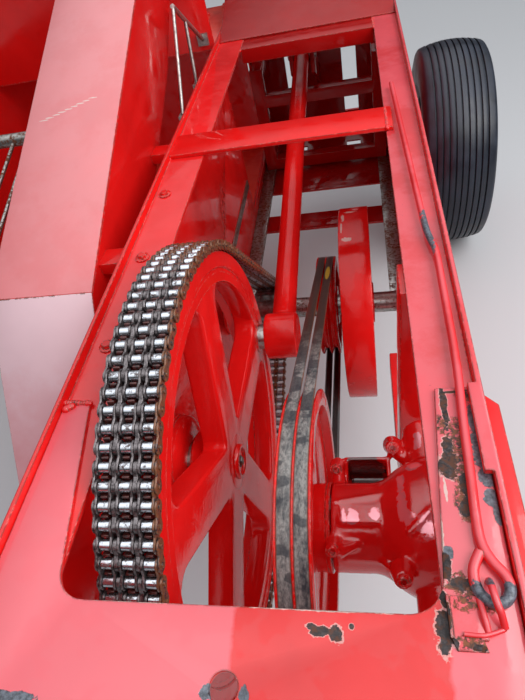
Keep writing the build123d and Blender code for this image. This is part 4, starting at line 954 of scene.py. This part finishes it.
class BAY_OT_crank_wheel(bpy.types.Operator):
    """Round and paint the spoked crank wheel, its shaft, pin and bearing"""
    bl_idname = "bay.crank_wheel"
    bl_label = "Crank wheel"

    def execute(self, context):
        wheel = paint("wheel_paint", wet=0.8, chips=0.12, dirt=0.06, cast=True, ior=1.4)
        hub = paint("hub_paint", wet=0.8, chips=0.08, dirt=0.08, cast=True, ior=1.6)
        pin = worn_steel("pin_steel", 0.3, 0.9)
        shape = wheel_web()
        for points in (
                [(-28.3, 291), (-28.3, 330.8), (28.3, 330.8), (28.3, 308.5), (26.6, 306.4),
                 (25.6, 306.0), (25.6, 286), (20, 284), (-8, 288), (-12, 291), (-28.3, 291)],
                [(-38, 31), (-38, 47), (-35, 50), (20, 50), (24.6, 47), (26.2, 40),
                 (27.0, 28), (32.0, 26.8), (33.2, 25.6), (33.2, 21.8), (32.2, 20.8),
                 (29.6, 20.2), (29.2, 0)]):
            stamp(shape, unit(turn(points, 96, HUB), "ring"))
        boss = turn([(-12, 0), (-12, 33.6), (24.5, 33.6), (27.0, 31.4), (27.0, 24.2), (2, 24.1),
                     (2, 0)], 48, spot(0, 294.3, -20.6))
        stamp(shape, unit(boss, "pin_boss"))
        keep(shape, "wheel_casting", wheel, "crank",
             ["crank_wheel", "crank_shaft"])
        shaft = turn([(-132, 0), (-132, 30.5), (-130.5, 32), (-30, 32), (-30, 0)], 48, HUB)
        keep(shaft, "wheel_shaft", pin, "crank", ["crank_shaft"])
        bolt = bmesh.new()
        stamp(bolt, hex_bolt(13.0, 5.0, 9.0), facing_matrix(spot(28.4, 0, 0), (1, 0, 0)))
        keep(bolt, "hub_bolt", worn_steel("dark_bolt", 0.5, 0.25), "crank")
        housing = turn([(-106, 32.6), (-106, 95), (-97, 95), (-95, 93), (-95, 85), (-91, 81),
                        (-83, 80), (-81, 76.5), (-79, 79), (-68, 78), (-66, 74), (-64, 76),
                        (-56, 75), (-52, 71), (-49, 62), (-48, 52), (-48, 32.6),
                        (-106, 32.6)], 96, HUB)
        keep(housing, "bearing_housing", hub, "frame", ["crank_bearing"])
        soften("crank_pin", 1.5, pin)
        return {"FINISHED"}


class BAY_OT_wheels(bpy.types.Operator):
    """Round and paint the pulleys, the flywheel, the countershaft and the bearings"""
    bl_idname = "bay.wheels"
    bl_label = "Pulleys and flywheel"

    def execute(self, context):
        pulley = paint("pulley_paint", wet=0.65, chips=0.35, dirt=0.1, cast=True, ior=1.36)
        fly = paint("flywheel_paint", wet=0.6, dirt=0.15, cast=True, ior=1.36, bright=(
            ((211, 590, 50), (12, 5, 6)), ((196, 560, 56), (3, 16, 6)),
            ((193, 522, 59), (2, 18, 6)), ((204, 485, 55), (11, 5, 6))))
        housing = paint("housing_paint", dirt=0.4, cast=True)
        shaft = worn_steel("shaft_steel", 0.35, 0.8)
        for node, width, finish in (
                ("front_pulley", 1.1, pulley), ("rear_pulley", 1.1, pulley),
                ("flywheel", 2.6, fly), ("counter_bearings", 2.5, housing),
                ("countershaft", 1.2, shaft), ("pulley_shaft", 1.0, pulley),
                ("input_shaft", 1.0, shaft), ("wrist_pin", 1.2, shaft)):
            soften(node, width, finish)
        hub = turn([(140, 0), (140, 57), (150, 60.0), (171, 60.0), (172.5, 61.5), (176.4, 61.5),
                    (177.4, 60.5), (177.4, 0)], 64, spot(0, *PULLEY))
        keep(hub, "pulley_hub", pulley, "front_drive")
        dress("pinion", worn_steel("pinion_steel", 0.4, 0.5))
        return {"FINISHED"}


class BAY_OT_chain(bpy.types.Operator):
    """Build the triplex chain's links, rollers and pins, and the tips of the teeth"""
    bl_idname = "bay.chain"
    bl_label = "Triplex chain"

    def execute(self, context):
        s = sizes()
        near_r = s.chain_pitch * 500 / sin(pi / CRANK_TEETH)
        far_r = s.chain_pitch * 500 / sin(pi / PINION_TEETH)
        whole = loop_frame(CRANK, COUNTER, near_r, far_r, 0.0)[2]
        count = 2 * round(whole / s.chain_pitch / 2000)
        pitch = whole / count
        strand = s.strand_pitch * 1000
        slack = -0.045                  # the first roller, in pitches from the loop's start
        inner, outer = bmesh.new(), bmesh.new()
        for i in (-1, 0, 1):
            for side in (-1, 1):
                stamp(inner, self.link_plate(pitch, 2.4, 8.3, 5.4),
                      Matrix.Translation(((i * strand + side * 7.5) / 1000, 0, 0)))
        for side in (-1, 1):
            stamp(outer, self.link_plate(pitch, 2.2, 7.9, 5.0),
                  Matrix.Translation((side * 0.0331, 0, 0)))
            stamp(outer, self.link_plate(pitch, 4.4, 7.6, 4.6),
                  Matrix.Translation((side * strand / 2000, 0, 0)))
            for end in (-1, 1):
                head = turn([(33.0, 2.9), (35.5, 2.9), (36.0, 2.3), (36.0, 0)], 10)
                flip = Matrix.Rotation(pi if side < 0 else 0.0, 4, "Z")
                stamp(outer, unit(head, "pin_head"),
                      Matrix.Translation((0, end * pitch / 2000, 0)) @ flip)
        r = s.roller_radius * 1000
        roller = unit(turn([(-6.15, 0), (-6.15, r - 1.0), (-5.4, r), (5.4, r), (6.15, r - 1.0),
                            (6.15, 0)], 16), "roller")
        row = bmesh.new()
        for i in (-1, 0, 1):
            stamp(row, roller, Matrix.Translation((i * strand / 1000, 0, 0)))
        links = (unit(inner, "inner_link"), unit(outer, "outer_link"))
        row = unit(row, "roller_row")
        plates, rollers = bmesh.new(), bmesh.new()
        for i in range(count):
            here, out, _ = loop_frame(CRANK, COUNTER, near_r, far_r, (i + slack) * pitch)
            after, next_out, _ = loop_frame(CRANK, COUNTER, near_r, far_r,
                                            (i + 1 + slack) * pitch)
            stamp(rollers, row, self.on_loop(here, out))
            stamp(plates, links[i % 2], self.on_loop((here + after) / 2, out + next_out))
        keep(plates, "chain_plates", oily_plate("link_plates"), "frame",
             ["chain"])
        keep(rollers, "chain_rollers", rubbed_roller("rollers"), "frame",
             ["chain"])
        tips = bmesh.new()
        tooth = self.tooth()
        for i in range(count):
            here, out, _ = loop_frame(CRANK, COUNTER, near_r, far_r, (i + 0.5 + slack) * pitch)
            if here.y < 250 and (here - near_r * out).length < 1.0:
                for strand_at in (-1, 0, 1):
                    place = here + Vector((strand_at * strand, 0, 0))
                    stamp(tips, tooth, self.on_loop(place, out))
        keep(tips, "tooth_tips", tooth_steel("tooth_tips"), "frame")
        return {"FINISHED"}

    def on_loop(self, place, out):
        """Return the matrix for a piece that lies across the chain, its +Z outward."""
        out = out.normalized()
        ahead = Vector((0, out.z, -out.y))
        turned = Matrix((Vector((1, 0, 0)), ahead, out)).transposed().to_4x4()
        return Matrix.Translation(spot(*place)) @ turned

    def link_plate(self, pitch, thick, end, waist):
        """Return a waisted link plate across X, the middles of its ends a pitch apart."""
        shape = bmesh.new()
        half = pitch / 2
        low = shape.verts.new((0, 0, -waist / 1000))
        start = shape.verts.new((0, (half - end * 0.55) / 1000, -end * 0.835 / 1000))
        shape.edges.new((low, start))
        last = arc(shape, start, (0, half / 1000, 0), radians(247), 8)
        shape.edges.new((last, shape.verts.new((0, 0, waist / 1000))))
        bmesh.ops.mirror(shape, geom=shape.verts[:] + shape.edges[:], axis="Y",
                         merge_dist=1e-6)
        bmesh.ops.remove_doubles(shape, verts=shape.verts, dist=1e-6)
        face = bmesh.ops.contextual_create(shape, geom=shape.edges[:])["faces"]
        lifted = bmesh.ops.extrude_face_region(shape, geom=face)["geom"]
        bmesh.ops.translate(shape, vec=(thick / 1000, 0, 0), verts=only(POINT, lifted))
        bmesh.ops.translate(shape, vec=(-thick / 2000, 0, 0), verts=shape.verts)
        bmesh.ops.recalc_face_normals(shape, faces=shape.faces)
        round_edges(shape, sharp_edges(shape, 60), 0.0004, 1)
        return unit(shape, "link_plate")

    def tooth(self):
        """Return the tip of a tooth: a wedge with a narrow land, +Z outward."""
        shape = bmesh.new()
        made = bmesh.ops.create_cube(shape, size=1.0,
                                     matrix=Matrix.Diagonal((0.0106, 0.0118, 0.0125, 1)))
        top = [v for v in made["verts"] if v.co.z > 0]
        bmesh.ops.scale(shape, vec=(0.72, 0.16, 1), verts=top)
        bmesh.ops.translate(shape, vec=(0, 0, -0.0028), verts=shape.verts)
        round_edges(shape, shape.edges[:], 0.0003, 1)
        return unit(shape, "tooth")


class BAY_OT_belts(bpy.types.Operator):
    """Sweep the two V-belts round their pulleys"""
    bl_idname = "bay.belts"
    bl_label = "V-belts"

    def execute(self, context):
        s = sizes()
        low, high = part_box("v_belts")
        middle = ((low.x + high.x) / 2 - HUB.x) * 1000
        shape = bmesh.new()
        run = shape.loops.layers.uv.new("run")
        for side, begin in ((-1, 0.0), (1, 0.37)):
            self.belt(shape, run, middle + side * BELT_SIDEWAYS, s.belt_top * 1000,
                      s.belt_depth * 1000, begin)
        bmesh.ops.recalc_face_normals(shape, faces=shape.faces)
        keep(shape, "belts", belt_cover("belt_cover"), "frame", ["v_belts"])
        return {"FINISHED"}

    def belt(self, shape, run, x, top, depth, begin):
        """Sweep one belt at x, with a UV map that runs along it from begin and across it."""
        half = top / 2
        slim = half - depth * 0.325
        section = [(-half, -1.6), (-half + 0.5, -0.5), (-half + 1.7, 0), (0, 0.0),
                   (half - 1.7, 0), (half - 0.5, -0.5), (half, -1.6), (slim, -depth),
                   (-slim, -depth)]
        lean, wrap, straight = loop_angles(PULLEY, COUNTER, FRONT_PULLEY_R, REAR_PULLEY_R)
        stretches = [(PULLEY, FRONT_PULLEY_R, lean + wrap, 2 * pi - 2 * wrap, 44),
                     (COUNTER, REAR_PULLEY_R, lean - wrap, 2 * wrap, 22)]
        middle = spot(x, 0, 0).x
        first_out = Vector((0, cos(lean + wrap), sin(lean + wrap)))
        verts = []
        for across, rise in section:
            place = Vector((x + across, *PULLEY)) + first_out * (FRONT_PULLEY_R + rise)
            verts.append(shape.verts.new(spot(*place)))
        lines = [shape.edges.new((a, b)) for a, b in zip(verts, verts[1:] + verts[:1])]
        start_verts = list(verts)
        for centre, radius, start, angle, steps in stretches:
            known = set(shape.faces)
            hub = spot(0, *centre)
            made = bmesh.ops.spin(shape, geom=verts + lines, cent=hub, axis=(1, 0, 0),
                                  angle=angle, steps=steps, use_merge=False)
            for face in set(shape.faces) - known:
                mid = face.calc_center_median()
                mid_turn = (atan2(mid.z - hub.z, mid.y - hub.y) - start) % (2 * pi)
                for corner in face.loops:
                    co = corner.vert.co
                    turned = (atan2(co.z - hub.z, co.y - hub.y) - start) % (2 * pi)
                    if turned - mid_turn > pi:
                        turned -= 2 * pi
                    if mid_turn - turned > pi:
                        turned += 2 * pi
                    corner[run].uv = (begin + turned * radius / 1000, co.x - middle)
            begin += angle * radius / 1000
            known = set(shape.faces)
            lifted = bmesh.ops.extrude_edge_only(
                shape, edges=only(EDGE, made["geom_last"]))["geom"]
            verts, lines = only(POINT, lifted), only(EDGE, lifted)
            end = start + angle
            ahead = Vector((0, -sin(end), cos(end)))
            base = hub + Vector((0, cos(end), sin(end))) * radius / 1000
            bmesh.ops.translate(shape, vec=ahead * straight / 1000, verts=verts)
            for face in set(shape.faces) - known:
                for corner in face.loops:
                    along = (corner.vert.co - base).dot(ahead)
                    corner[run].uv = (begin + along, corner.vert.co.x - middle)
            begin += straight / 1000
        bmesh.ops.remove_doubles(shape, verts=verts + start_verts, dist=1e-4)


class BAY_OT_gearbox(bpy.types.Operator):
    """Cast the gearbox case with its ridge, pads and lugs, and bolt it together"""
    bl_idname = "bay.gearbox"
    bl_label = "Gearbox"

    def execute(self, context):
        # The case carries a faint painted sheen, painted shade in the foot's pocket, and pale
        # patches of painted reflection on the dome and the pad.
        case = paint("gearbox_paint", painted_sheen=0.05, wet=0.8, chips=0.12, dirt=0.04, cast=True,
                     ior=1.7, shade_patches=marks(-40, 46, (222, 2, 34, 16)), pale=(
                         ((271, -74, 71), (5, 14, 9)), ((271, -112, 76), (6, 24, 12)),
                         ((277, -128, 77), (9, 9, 12)), ((299, -141, 84), (13, 15, 14)),
                         ((302, 13, 29), (6, 14, 14)), ((291, -52, 68), (11, 9, 12)),
                         *marks(57, 5, (196, -119, 4, 9), (207, -118, 8, 10),
                                (236, -115, 6, 8))))
        y, z = PULLEY
        shape = bmesh.new()
        case_form = [
            (300, 0), (300, 19), (178.4, 19), (178.4, 60), (236, 60), (246, 62.5), (256, 69),
            (268, 79), (282, 87.5), (300, 93), (320, 95), (340, 93), (360, 86), (380, 74),
            (399.5, 52), (399.5, 0)]
        collar = [(355, 60), (355, 112), (367, 112), (367, 60), (355, 60)]
        for points in (case_form, collar):
            stamp(shape, unit(turn(points, 96, spot(0, y, z)), "case_form"))
        foot_pocket = (
            ((192, y + 40, z - 60), (198.5, y + 114, z)),
            ((255.5, y + 40, z - 60), (262, y + 114, z)),
            ((192, y + 107.5, z - 60), (262, y + 114, z)),
            ((192, y + 20, z - 60), (262, y + 114, z - 53.5)))
        pad = ((189, y - 22, z + 44), (243, y + 4, z + 61.5))
        for low, high in (*foot_pocket, pad):
            block(shape, low, high)
        bosses = (
            ((320, y - 150, z), (320, y + 155, z), 38.0, 38.0, 48),
            ((186, -160, 44), (214, -146, 36), 11.0, 5.0, 12),
            ((185, -22, 8), (188, -60, 10), 9.0, 12.0, 16),
            ((266, 12, 6), (300, -10, 0), 9.0, 14.0, 16))
        ribs = (
            ((179, y + 6, z + 60), (262, y + 22, z + 57), 3.4, 4.5, 12),
            ((262, y + 22, z + 57), (300, y + 26, z + 78), 4.5, 5.0, 12),
            ((274, y - 42, z + 74), (306, y - 17, z + 93), 4.5, 4.5, 12),
            ((306, y - 17, z + 93), (352, y - 8, z + 90), 4.5, 4.5, 12),
            ((196, -158, 20), (241, -159, 18), 4.0, 4.0, 12),
            ((241, -159, 18), (262, -188, 46), 4.0, 4.0, 12))
        for a, b, radius, end_radius, segments in (*bosses, *ribs):
            bar(shape, a, b, radius, end_radius, segments)
        lean = Vector((0, -0.64, 0.77))
        seats = ((183, -26, 17, 9), (182, -162, 55, 9), (266, 8, 20, 10), (266, -200, 65, 11))
        for bx, by, bz, wide in seats:
            foot = Vector((bx, by, bz)) - lean * 34
            bar(shape, foot, Vector((bx, by, bz)) + lean * 2, wide * 1.5, wide, 20)
        cast("gearbox_casting", shape, case, "gearbox_case")
        bolts = bmesh.new()
        head = socket_bolt(6.3, 7.0)
        for bx, by, bz, _ in seats:
            stamp(bolts, head, facing_matrix(spot(*(Vector((bx, by, bz)) + lean * 1.5)), lean))
        keep(bolts, "gearbox_bolts", case, "frame")
        return {"FINISHED"}


class BAY_OT_rod(bpy.types.Operator):
    """Cast the connecting rod with its two ends as one piece"""
    bl_idname = "bay.rod"
    bl_label = "Connecting rod"

    def execute(self, context):
        finish = paint("rod_paint", wet=0.6, chips=0.15, dirt=0.03, cast=True, ior=1.38)
        shape = copy_of("connecting_rod", dissolve=False)
        cast("rod_casting", shape, finish, "connecting_rod", 5)
        return {"FINISHED"}


class BAY_OT_road_wheel(bpy.types.Operator):
    """Turn the ribbed tyre and paint its steel wheel"""
    bl_idname = "bay.road_wheel"
    bl_label = "Road wheel"

    def execute(self, context):
        low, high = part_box("tyre")
        middle = (low + high) / 2
        half, outer = (high.x - low.x) * 500, (high.z - low.z) * 500
        tread = half * 0.86
        crown, groove = 14.0, 8.0       # how far the tread's edge and a groove's floor drop
        grooves = sizes().tyre_grooves
        step = 2 * tread / (grooves + 1)
        edge = outer - crown
        side = [(-half * 0.71, 179), (-half * 0.80, 183), (-half * 0.86, 196),
                (-half * 0.93, 212), (-half * 0.96, 214), (-half * 0.985, 236), (-half, 256),
                (-half, 264), (-half * 0.99, 282), (-half * 0.965, edge - 22),
                (-half * 0.94, edge - 10), (-half * 0.90, edge - 3)]
        points = side + [(-tread, edge)]
        for i in range(grooves):
            x = -tread + step * (i + 1)
            r = outer - crown * (x / tread)**2
            points += [(x - step * 0.5, outer - crown * ((x - step * 0.5) / tread)**2),
                       (x - 2.9, r), (x - 2.0, r - 0.9), (x - 1.5, r - groove),
                       (x + 1.5, r - groove), (x + 2.0, r - 0.9), (x + 2.9, r)]
        points += [(tread, edge)] + [(-x, r) for x, r in reversed(side)]
        inside = [(half * 0.60, 182), (half * 0.80, 214), (half * 0.86, 258), (half * 0.8, 286)]
        points += inside + [(0, 296)] + [(-x, r) for x, r in reversed(inside)] + [side[0]]
        keep(turn(points, 128, middle), "ribbed_tyre", tyre_rubber("tyre_rubber"), "road_wheel",
             ["tyre"], 40)
        rim = paint("rim_paint", dirt=0.2)
        soften("wheel_rim", 1.2, rim)
        return {"FINISHED"}


class BAY_OT_hook(bpy.types.Operator):
    """Bend the long hook and set its latch plate and staple"""
    bl_idname = "bay.hook"
    bl_label = "Hook"

    def execute(self, context):
        # The rod carries painted sheen on its faces that look up.
        rod = paint("hook_paint", painted_sheen=0.6, wet=0.4, chips=0.35, wear=0.0015,
                    grey=(((326, -288, 280), (21, 14, 14)), ((323, 175, 280), (9, 46, 12))))
        path_tube("hook_bar", [(x, y, HOOK_Z) for x, y in (
            (307, 667), (313, 480), (322, 190), (326, 160), (331, 138), (330.2, 60), (330, -50),
            (325.2, -126), (323, -190), (321, -229), (321.7, -247), (328.2, -261), (336, -270),
            (338, -281), (332, -290.5), (321, -290.5), (313.5, -283), (311.5, -270),
            (314.8, -260), (319.8, -252))], 4.4, rod, "hook_rod")
        # The latch plate carries painted sheen on its faces that look up.
        plate = paint("latch_paint", painted_sheen=0.75, wet=0.4, chips=0.7,
                      spots=marks(279, 8, (292, -320, 3, 5), (309, -321, 5, 2.5),
                                  (290, -303, 1.6, 12)),
                      rusted=marks(279, 8, (304, -291, 9, 6), (303, -318, 14, 5)))
        shape = bmesh.new()
        block(shape, (289.5, -316, 275.1), (316.5, -285, 278.2))
        block(shape, (289.5, -316, 275.1), (291.7, -285, 280.6))
        curl = block(shape, (290.5, -323.4, 275.1), (312.5, -315.5, 278.2))
        for vert in curl:
            if vert.co.y < spot(0, -320, 0).y:
                vert.co.z -= 0.002 if vert.co.z > spot(0, 0, 277).z else 0.0
                vert.co.x += 0.003
        round_edges(shape, shape.edges[:], 0.0007, 2)
        keep(shape, "latch_plate", plate, "frame", ["latch"])
        # The pins carry painted sheen on their faces that look up.
        pin = paint("pin_paint", painted_sheen=0.6, wet=0.4, chips=0.35, wear=0.0015,
                    grey=marks(286, 9, (323, -277, 6, 6)))
        for i, points in enumerate((
                [(316.7, -311.5, 276.5), (315.4, -304, 280.5), (314.4, -296, 281.0),
                 (313.5, -287, 277.5)],
                [(328.4, -306.5, 277.0), (326.5, -301, 286), (324.0, -295.0, 290.5),
                 (322.4, -286.0, 291.0), (322.3, -278.0, 287.0), (323.0, -273.5, 277.0)],
                [(299.0, -312.5, 279.0), (308.0, -313.5, 279.6), (317.0, -312.5, 278.6),
                 (328.4, -307.5, 277.2)])):
            path_tube(f"latch_pin_{i + 1}", points, (2.5, 2.8, 1.7)[i], pin, "latch")
        return {"FINISHED"}


class BAY_OT_fittings(bpy.types.Operator):
    """Bolt the rails and lay the welds"""
    bl_idname = "bay.fittings"
    bl_label = "Bolts and welds"

    def execute(self, context):
        finish = paint("bolt_paint", chips=0.5)
        bolts = bmesh.new()
        head = hex_bolt(13.0, 7.0, 11.0)
        for i, (x, y) in enumerate(((-93, 367), (-88, 191), (-87.5, 8))):
            stamp(bolts, head, facing_matrix(spot(x, y, 270), (0, 0, 1), 0.4 * i))
        keep(bolts, "rail_bolts", finish, "frame")
        # The welds carry a faint painted sheen on their faces that look up.
        weld = paint("weld_paint", painted_sheen=0.1, cast=True)
        beads = bmesh.new()
        for i, (a, b, r) in enumerate((
                ((-112, 494, 271), (-112, 572, 271), 4.0),
                ((290, 492, 276), (290, 572, 276), 4.0),
                ((-47, 1036, 266), (-47, 1118, 266), 4.0),
                ((288, 1036, 268), (288, 1118, 268), 4.0),
                ((-110, -84, 275), (-78, -86, 275), 3.6),
                ((-105, -94, 276), (-99, -90, 276), 5.0))):
            weld_bead(beads, a, b, r, i + 1)
        keep(beads, "welds", weld, "frame", crease=80)
        return {"FINISHED"}


class BAY_OT_outside(bpy.types.Operator):
    """Add the beads, flanges, bolts, rolled edges and wheel nuts of the outer sides"""
    bl_idname = "bay.outside"
    bl_label = "Outer sides"

    def execute(self, context):
        # The outer sides carry a faint painted sheen on their faces that look up.
        skin = paint("outside_paint", painted_sheen=0.1, wet=0.4, chips=0.5, dirt=0.2)
        beads = bmesh.new()
        for y0, y1, z in ((640, 1290, 150), (640, 1210, -40), (640, 1210, -215)):
            block(beads, (PLATE_RIGHT - 0.5, y0, z - 11), (PLATE_RIGHT + 4.5, y1, z + 11))
        for x0, x1, z in ((-745, -150, 160), (-745, -150, -20), (-745, -150, -180)):
            block(beads, (x0, 1476, z - 11), (x1, 1480.5, z + 11))
        round_edges(beads, beads.edges[:], 0.0034, 3)
        keep(beads, "pressed_beads", skin, "frame")
        rolled = bmesh.new()
        for a, b in (((-774.3, 561, 330), (-774.3, 1078, 330)),
                     ((-774.3, 562, -214), (-774.3, 562, 330)),
                     ((-774, 562, -216), (-116, 562, -216)),
                     ((-774, 1081.5, 635), (-122, 1081.5, 635))):
            bar(rolled, a, b, 4.8, segments=16)
        foot = unit(turn([(-2, 0), (-2, 22), (2.5, 22), (4, 20), (4, 0)], 32), "brace_foot")
        for x in (-690, -210):
            bar(rolled, (x, 1086, 540), (x, 1400, 272), 8.5)
            for y, z, out in ((1085, 540, (0, 1, 0)), (1399, 270, (0, 0, 1))):
                stamp(rolled, foot, facing_matrix(spot(x, y, z), out))
        keep(rolled, "rolled_edges", skin, "frame", crease=40)
        low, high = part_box("countershaft")
        shaft_r = (high.z - low.z) * 500
        flanges = bmesh.new()
        head = hex_bolt(13.0, 7.0, 11.0)
        bolts = bmesh.new()
        for x, out, (y, z), inner, wide in (
                (PLATE_RIGHT, 1, COUNTER, shaft_r + 1.5, 58),
                (PLATE_LEFT, -1, COUNTER, shaft_r + 1.5, 58),
                (PLATE_LEFT, -1, CRANK, 33.5, 84)):
            ring = turn([(-0.5, inner), (-0.5, wide), (4, wide), (6, wide - 2),
                         (6.5, wide - 16), (11, wide - 20), (12.5, inner + 3), (12.5, inner),
                         (-0.5, inner)], 64)
            stamp(flanges, unit(ring, "flange"), facing_matrix(spot(x, y, z), (out, 0, 0)))
            for i in range(4):
                a = radians(45 + 90 * i)
                place = spot(x + out * 6, y + (wide - 9) * cos(a), z + (wide - 9) * sin(a))
                stamp(bolts, head, facing_matrix(place, (out, 0, 0), i))
        keep(flanges, "bearing_flanges", skin, "frame", crease=40)
        row = [((PLATE_RIGHT, y, 222), (1, 0, 0)) for y in range(660, 1680, 145)]
        row += [((PLATE_RIGHT, y, -243), (1, 0, 0)) for y in range(560, 1240, 130)]
        row += [((PLATE_LEFT, y, 222), (-1, 0, 0)) for y in range(-330, 421, 150)]
        row += [((-350, y, z), (-1, 0, 0)) for y, z in ((420, 300), (700, 400), (960, 500))]
        row += [((x, 1466, 268), (0, 0, 1)) for x in range(-750, -140, 120)]
        row += [((x, 1476.5, 246), (0, 1, 0)) for x in range(-750, -140, 120)]
        row += [((x, 1083, 300), (0, 1, 0)) for x in (-750, -600, -300, -150)]
        row += [((x, 1515, 389.7), (0, -0.28, 0.96)) for x in (-95, 326)]
        for i, (place, out) in enumerate(row):
            stamp(bolts, head, facing_matrix(spot(*place), out, 0.7 * i))
        keep(bolts, "plate_bolts", paint("bolt_paint"), "frame")
        nuts = bmesh.new()
        nut = hex_bolt(19.0, 13.0, 15.0)
        nut_circle = 72
        for i in range(5):
            a = radians(18 + 72 * i)
            place = spot(559, TYRE[0] + nut_circle * cos(a), TYRE[1] + nut_circle * sin(a))
            stamp(nuts, nut, facing_matrix(place, (1, 0, 0), a))
        keep(nuts, "wheel_nuts", worn_steel("nut_steel", 0.5, 0.8), "road_wheel")
        seam = bmesh.new()
        for i, (a, b) in enumerate((
                ((-114, 566, -208), (-114, 566, 150)), ((-114, 570, -212), (-114, 1470, -212)),
                ((-124, 1478, 180), (-124, 1478, 262)))):
            weld_bead(seam, a, b, 3.2, i + 11)
        keep(seam, "trough_welds", paint("weld_paint"), "frame", crease=80)
        return {"FINISHED"}


STEPS = (
    BAY_OT_stage, BAY_OT_plates, BAY_OT_hood, BAY_OT_crank_wheel, BAY_OT_wheels, BAY_OT_chain,
    BAY_OT_belts, BAY_OT_gearbox, BAY_OT_rod, BAY_OT_road_wheel, BAY_OT_hook, BAY_OT_fittings,
    BAY_OT_outside,
)


class BAY_PT_panel(bpy.types.Panel):
    """Shows the drive bay's sizes, colours and steps"""
    bl_idname = "BAY_PT_panel"
    bl_label = "Drive bay"
    bl_space_type = "VIEW_3D"
    bl_region_type = "UI"
    bl_category = "Drive bay"

    def draw(self, context):
        for group in (context.scene.bay_sizes, context.scene.bay_colours):
            for name in group.bl_rna.properties.keys():
                if name not in ("rna_type", "name"):
                    self.layout.prop(group, name)
        for step in STEPS:
            self.layout.operator(step.bl_idname)


CLASSES = (BaySizes, BayColours, *STEPS, BAY_PT_panel)


def register():
    for made in CLASSES:
        bpy.utils.register_class(made)
    bpy.types.Scene.bay_sizes = bpy.props.PointerProperty(type=BaySizes)
    bpy.types.Scene.bay_colours = bpy.props.PointerProperty(type=BayColours)


def unregister():
    del bpy.types.Scene.bay_sizes
    del bpy.types.Scene.bay_colours
    for made in reversed(CLASSES):
        bpy.utils.unregister_class(made)


def main():
    register()
    for step in STEPS:
        group, name = step.bl_idname.split(".")
        getattr(getattr(bpy.ops, group), name)()


if __name__ == "__main__":
    main()
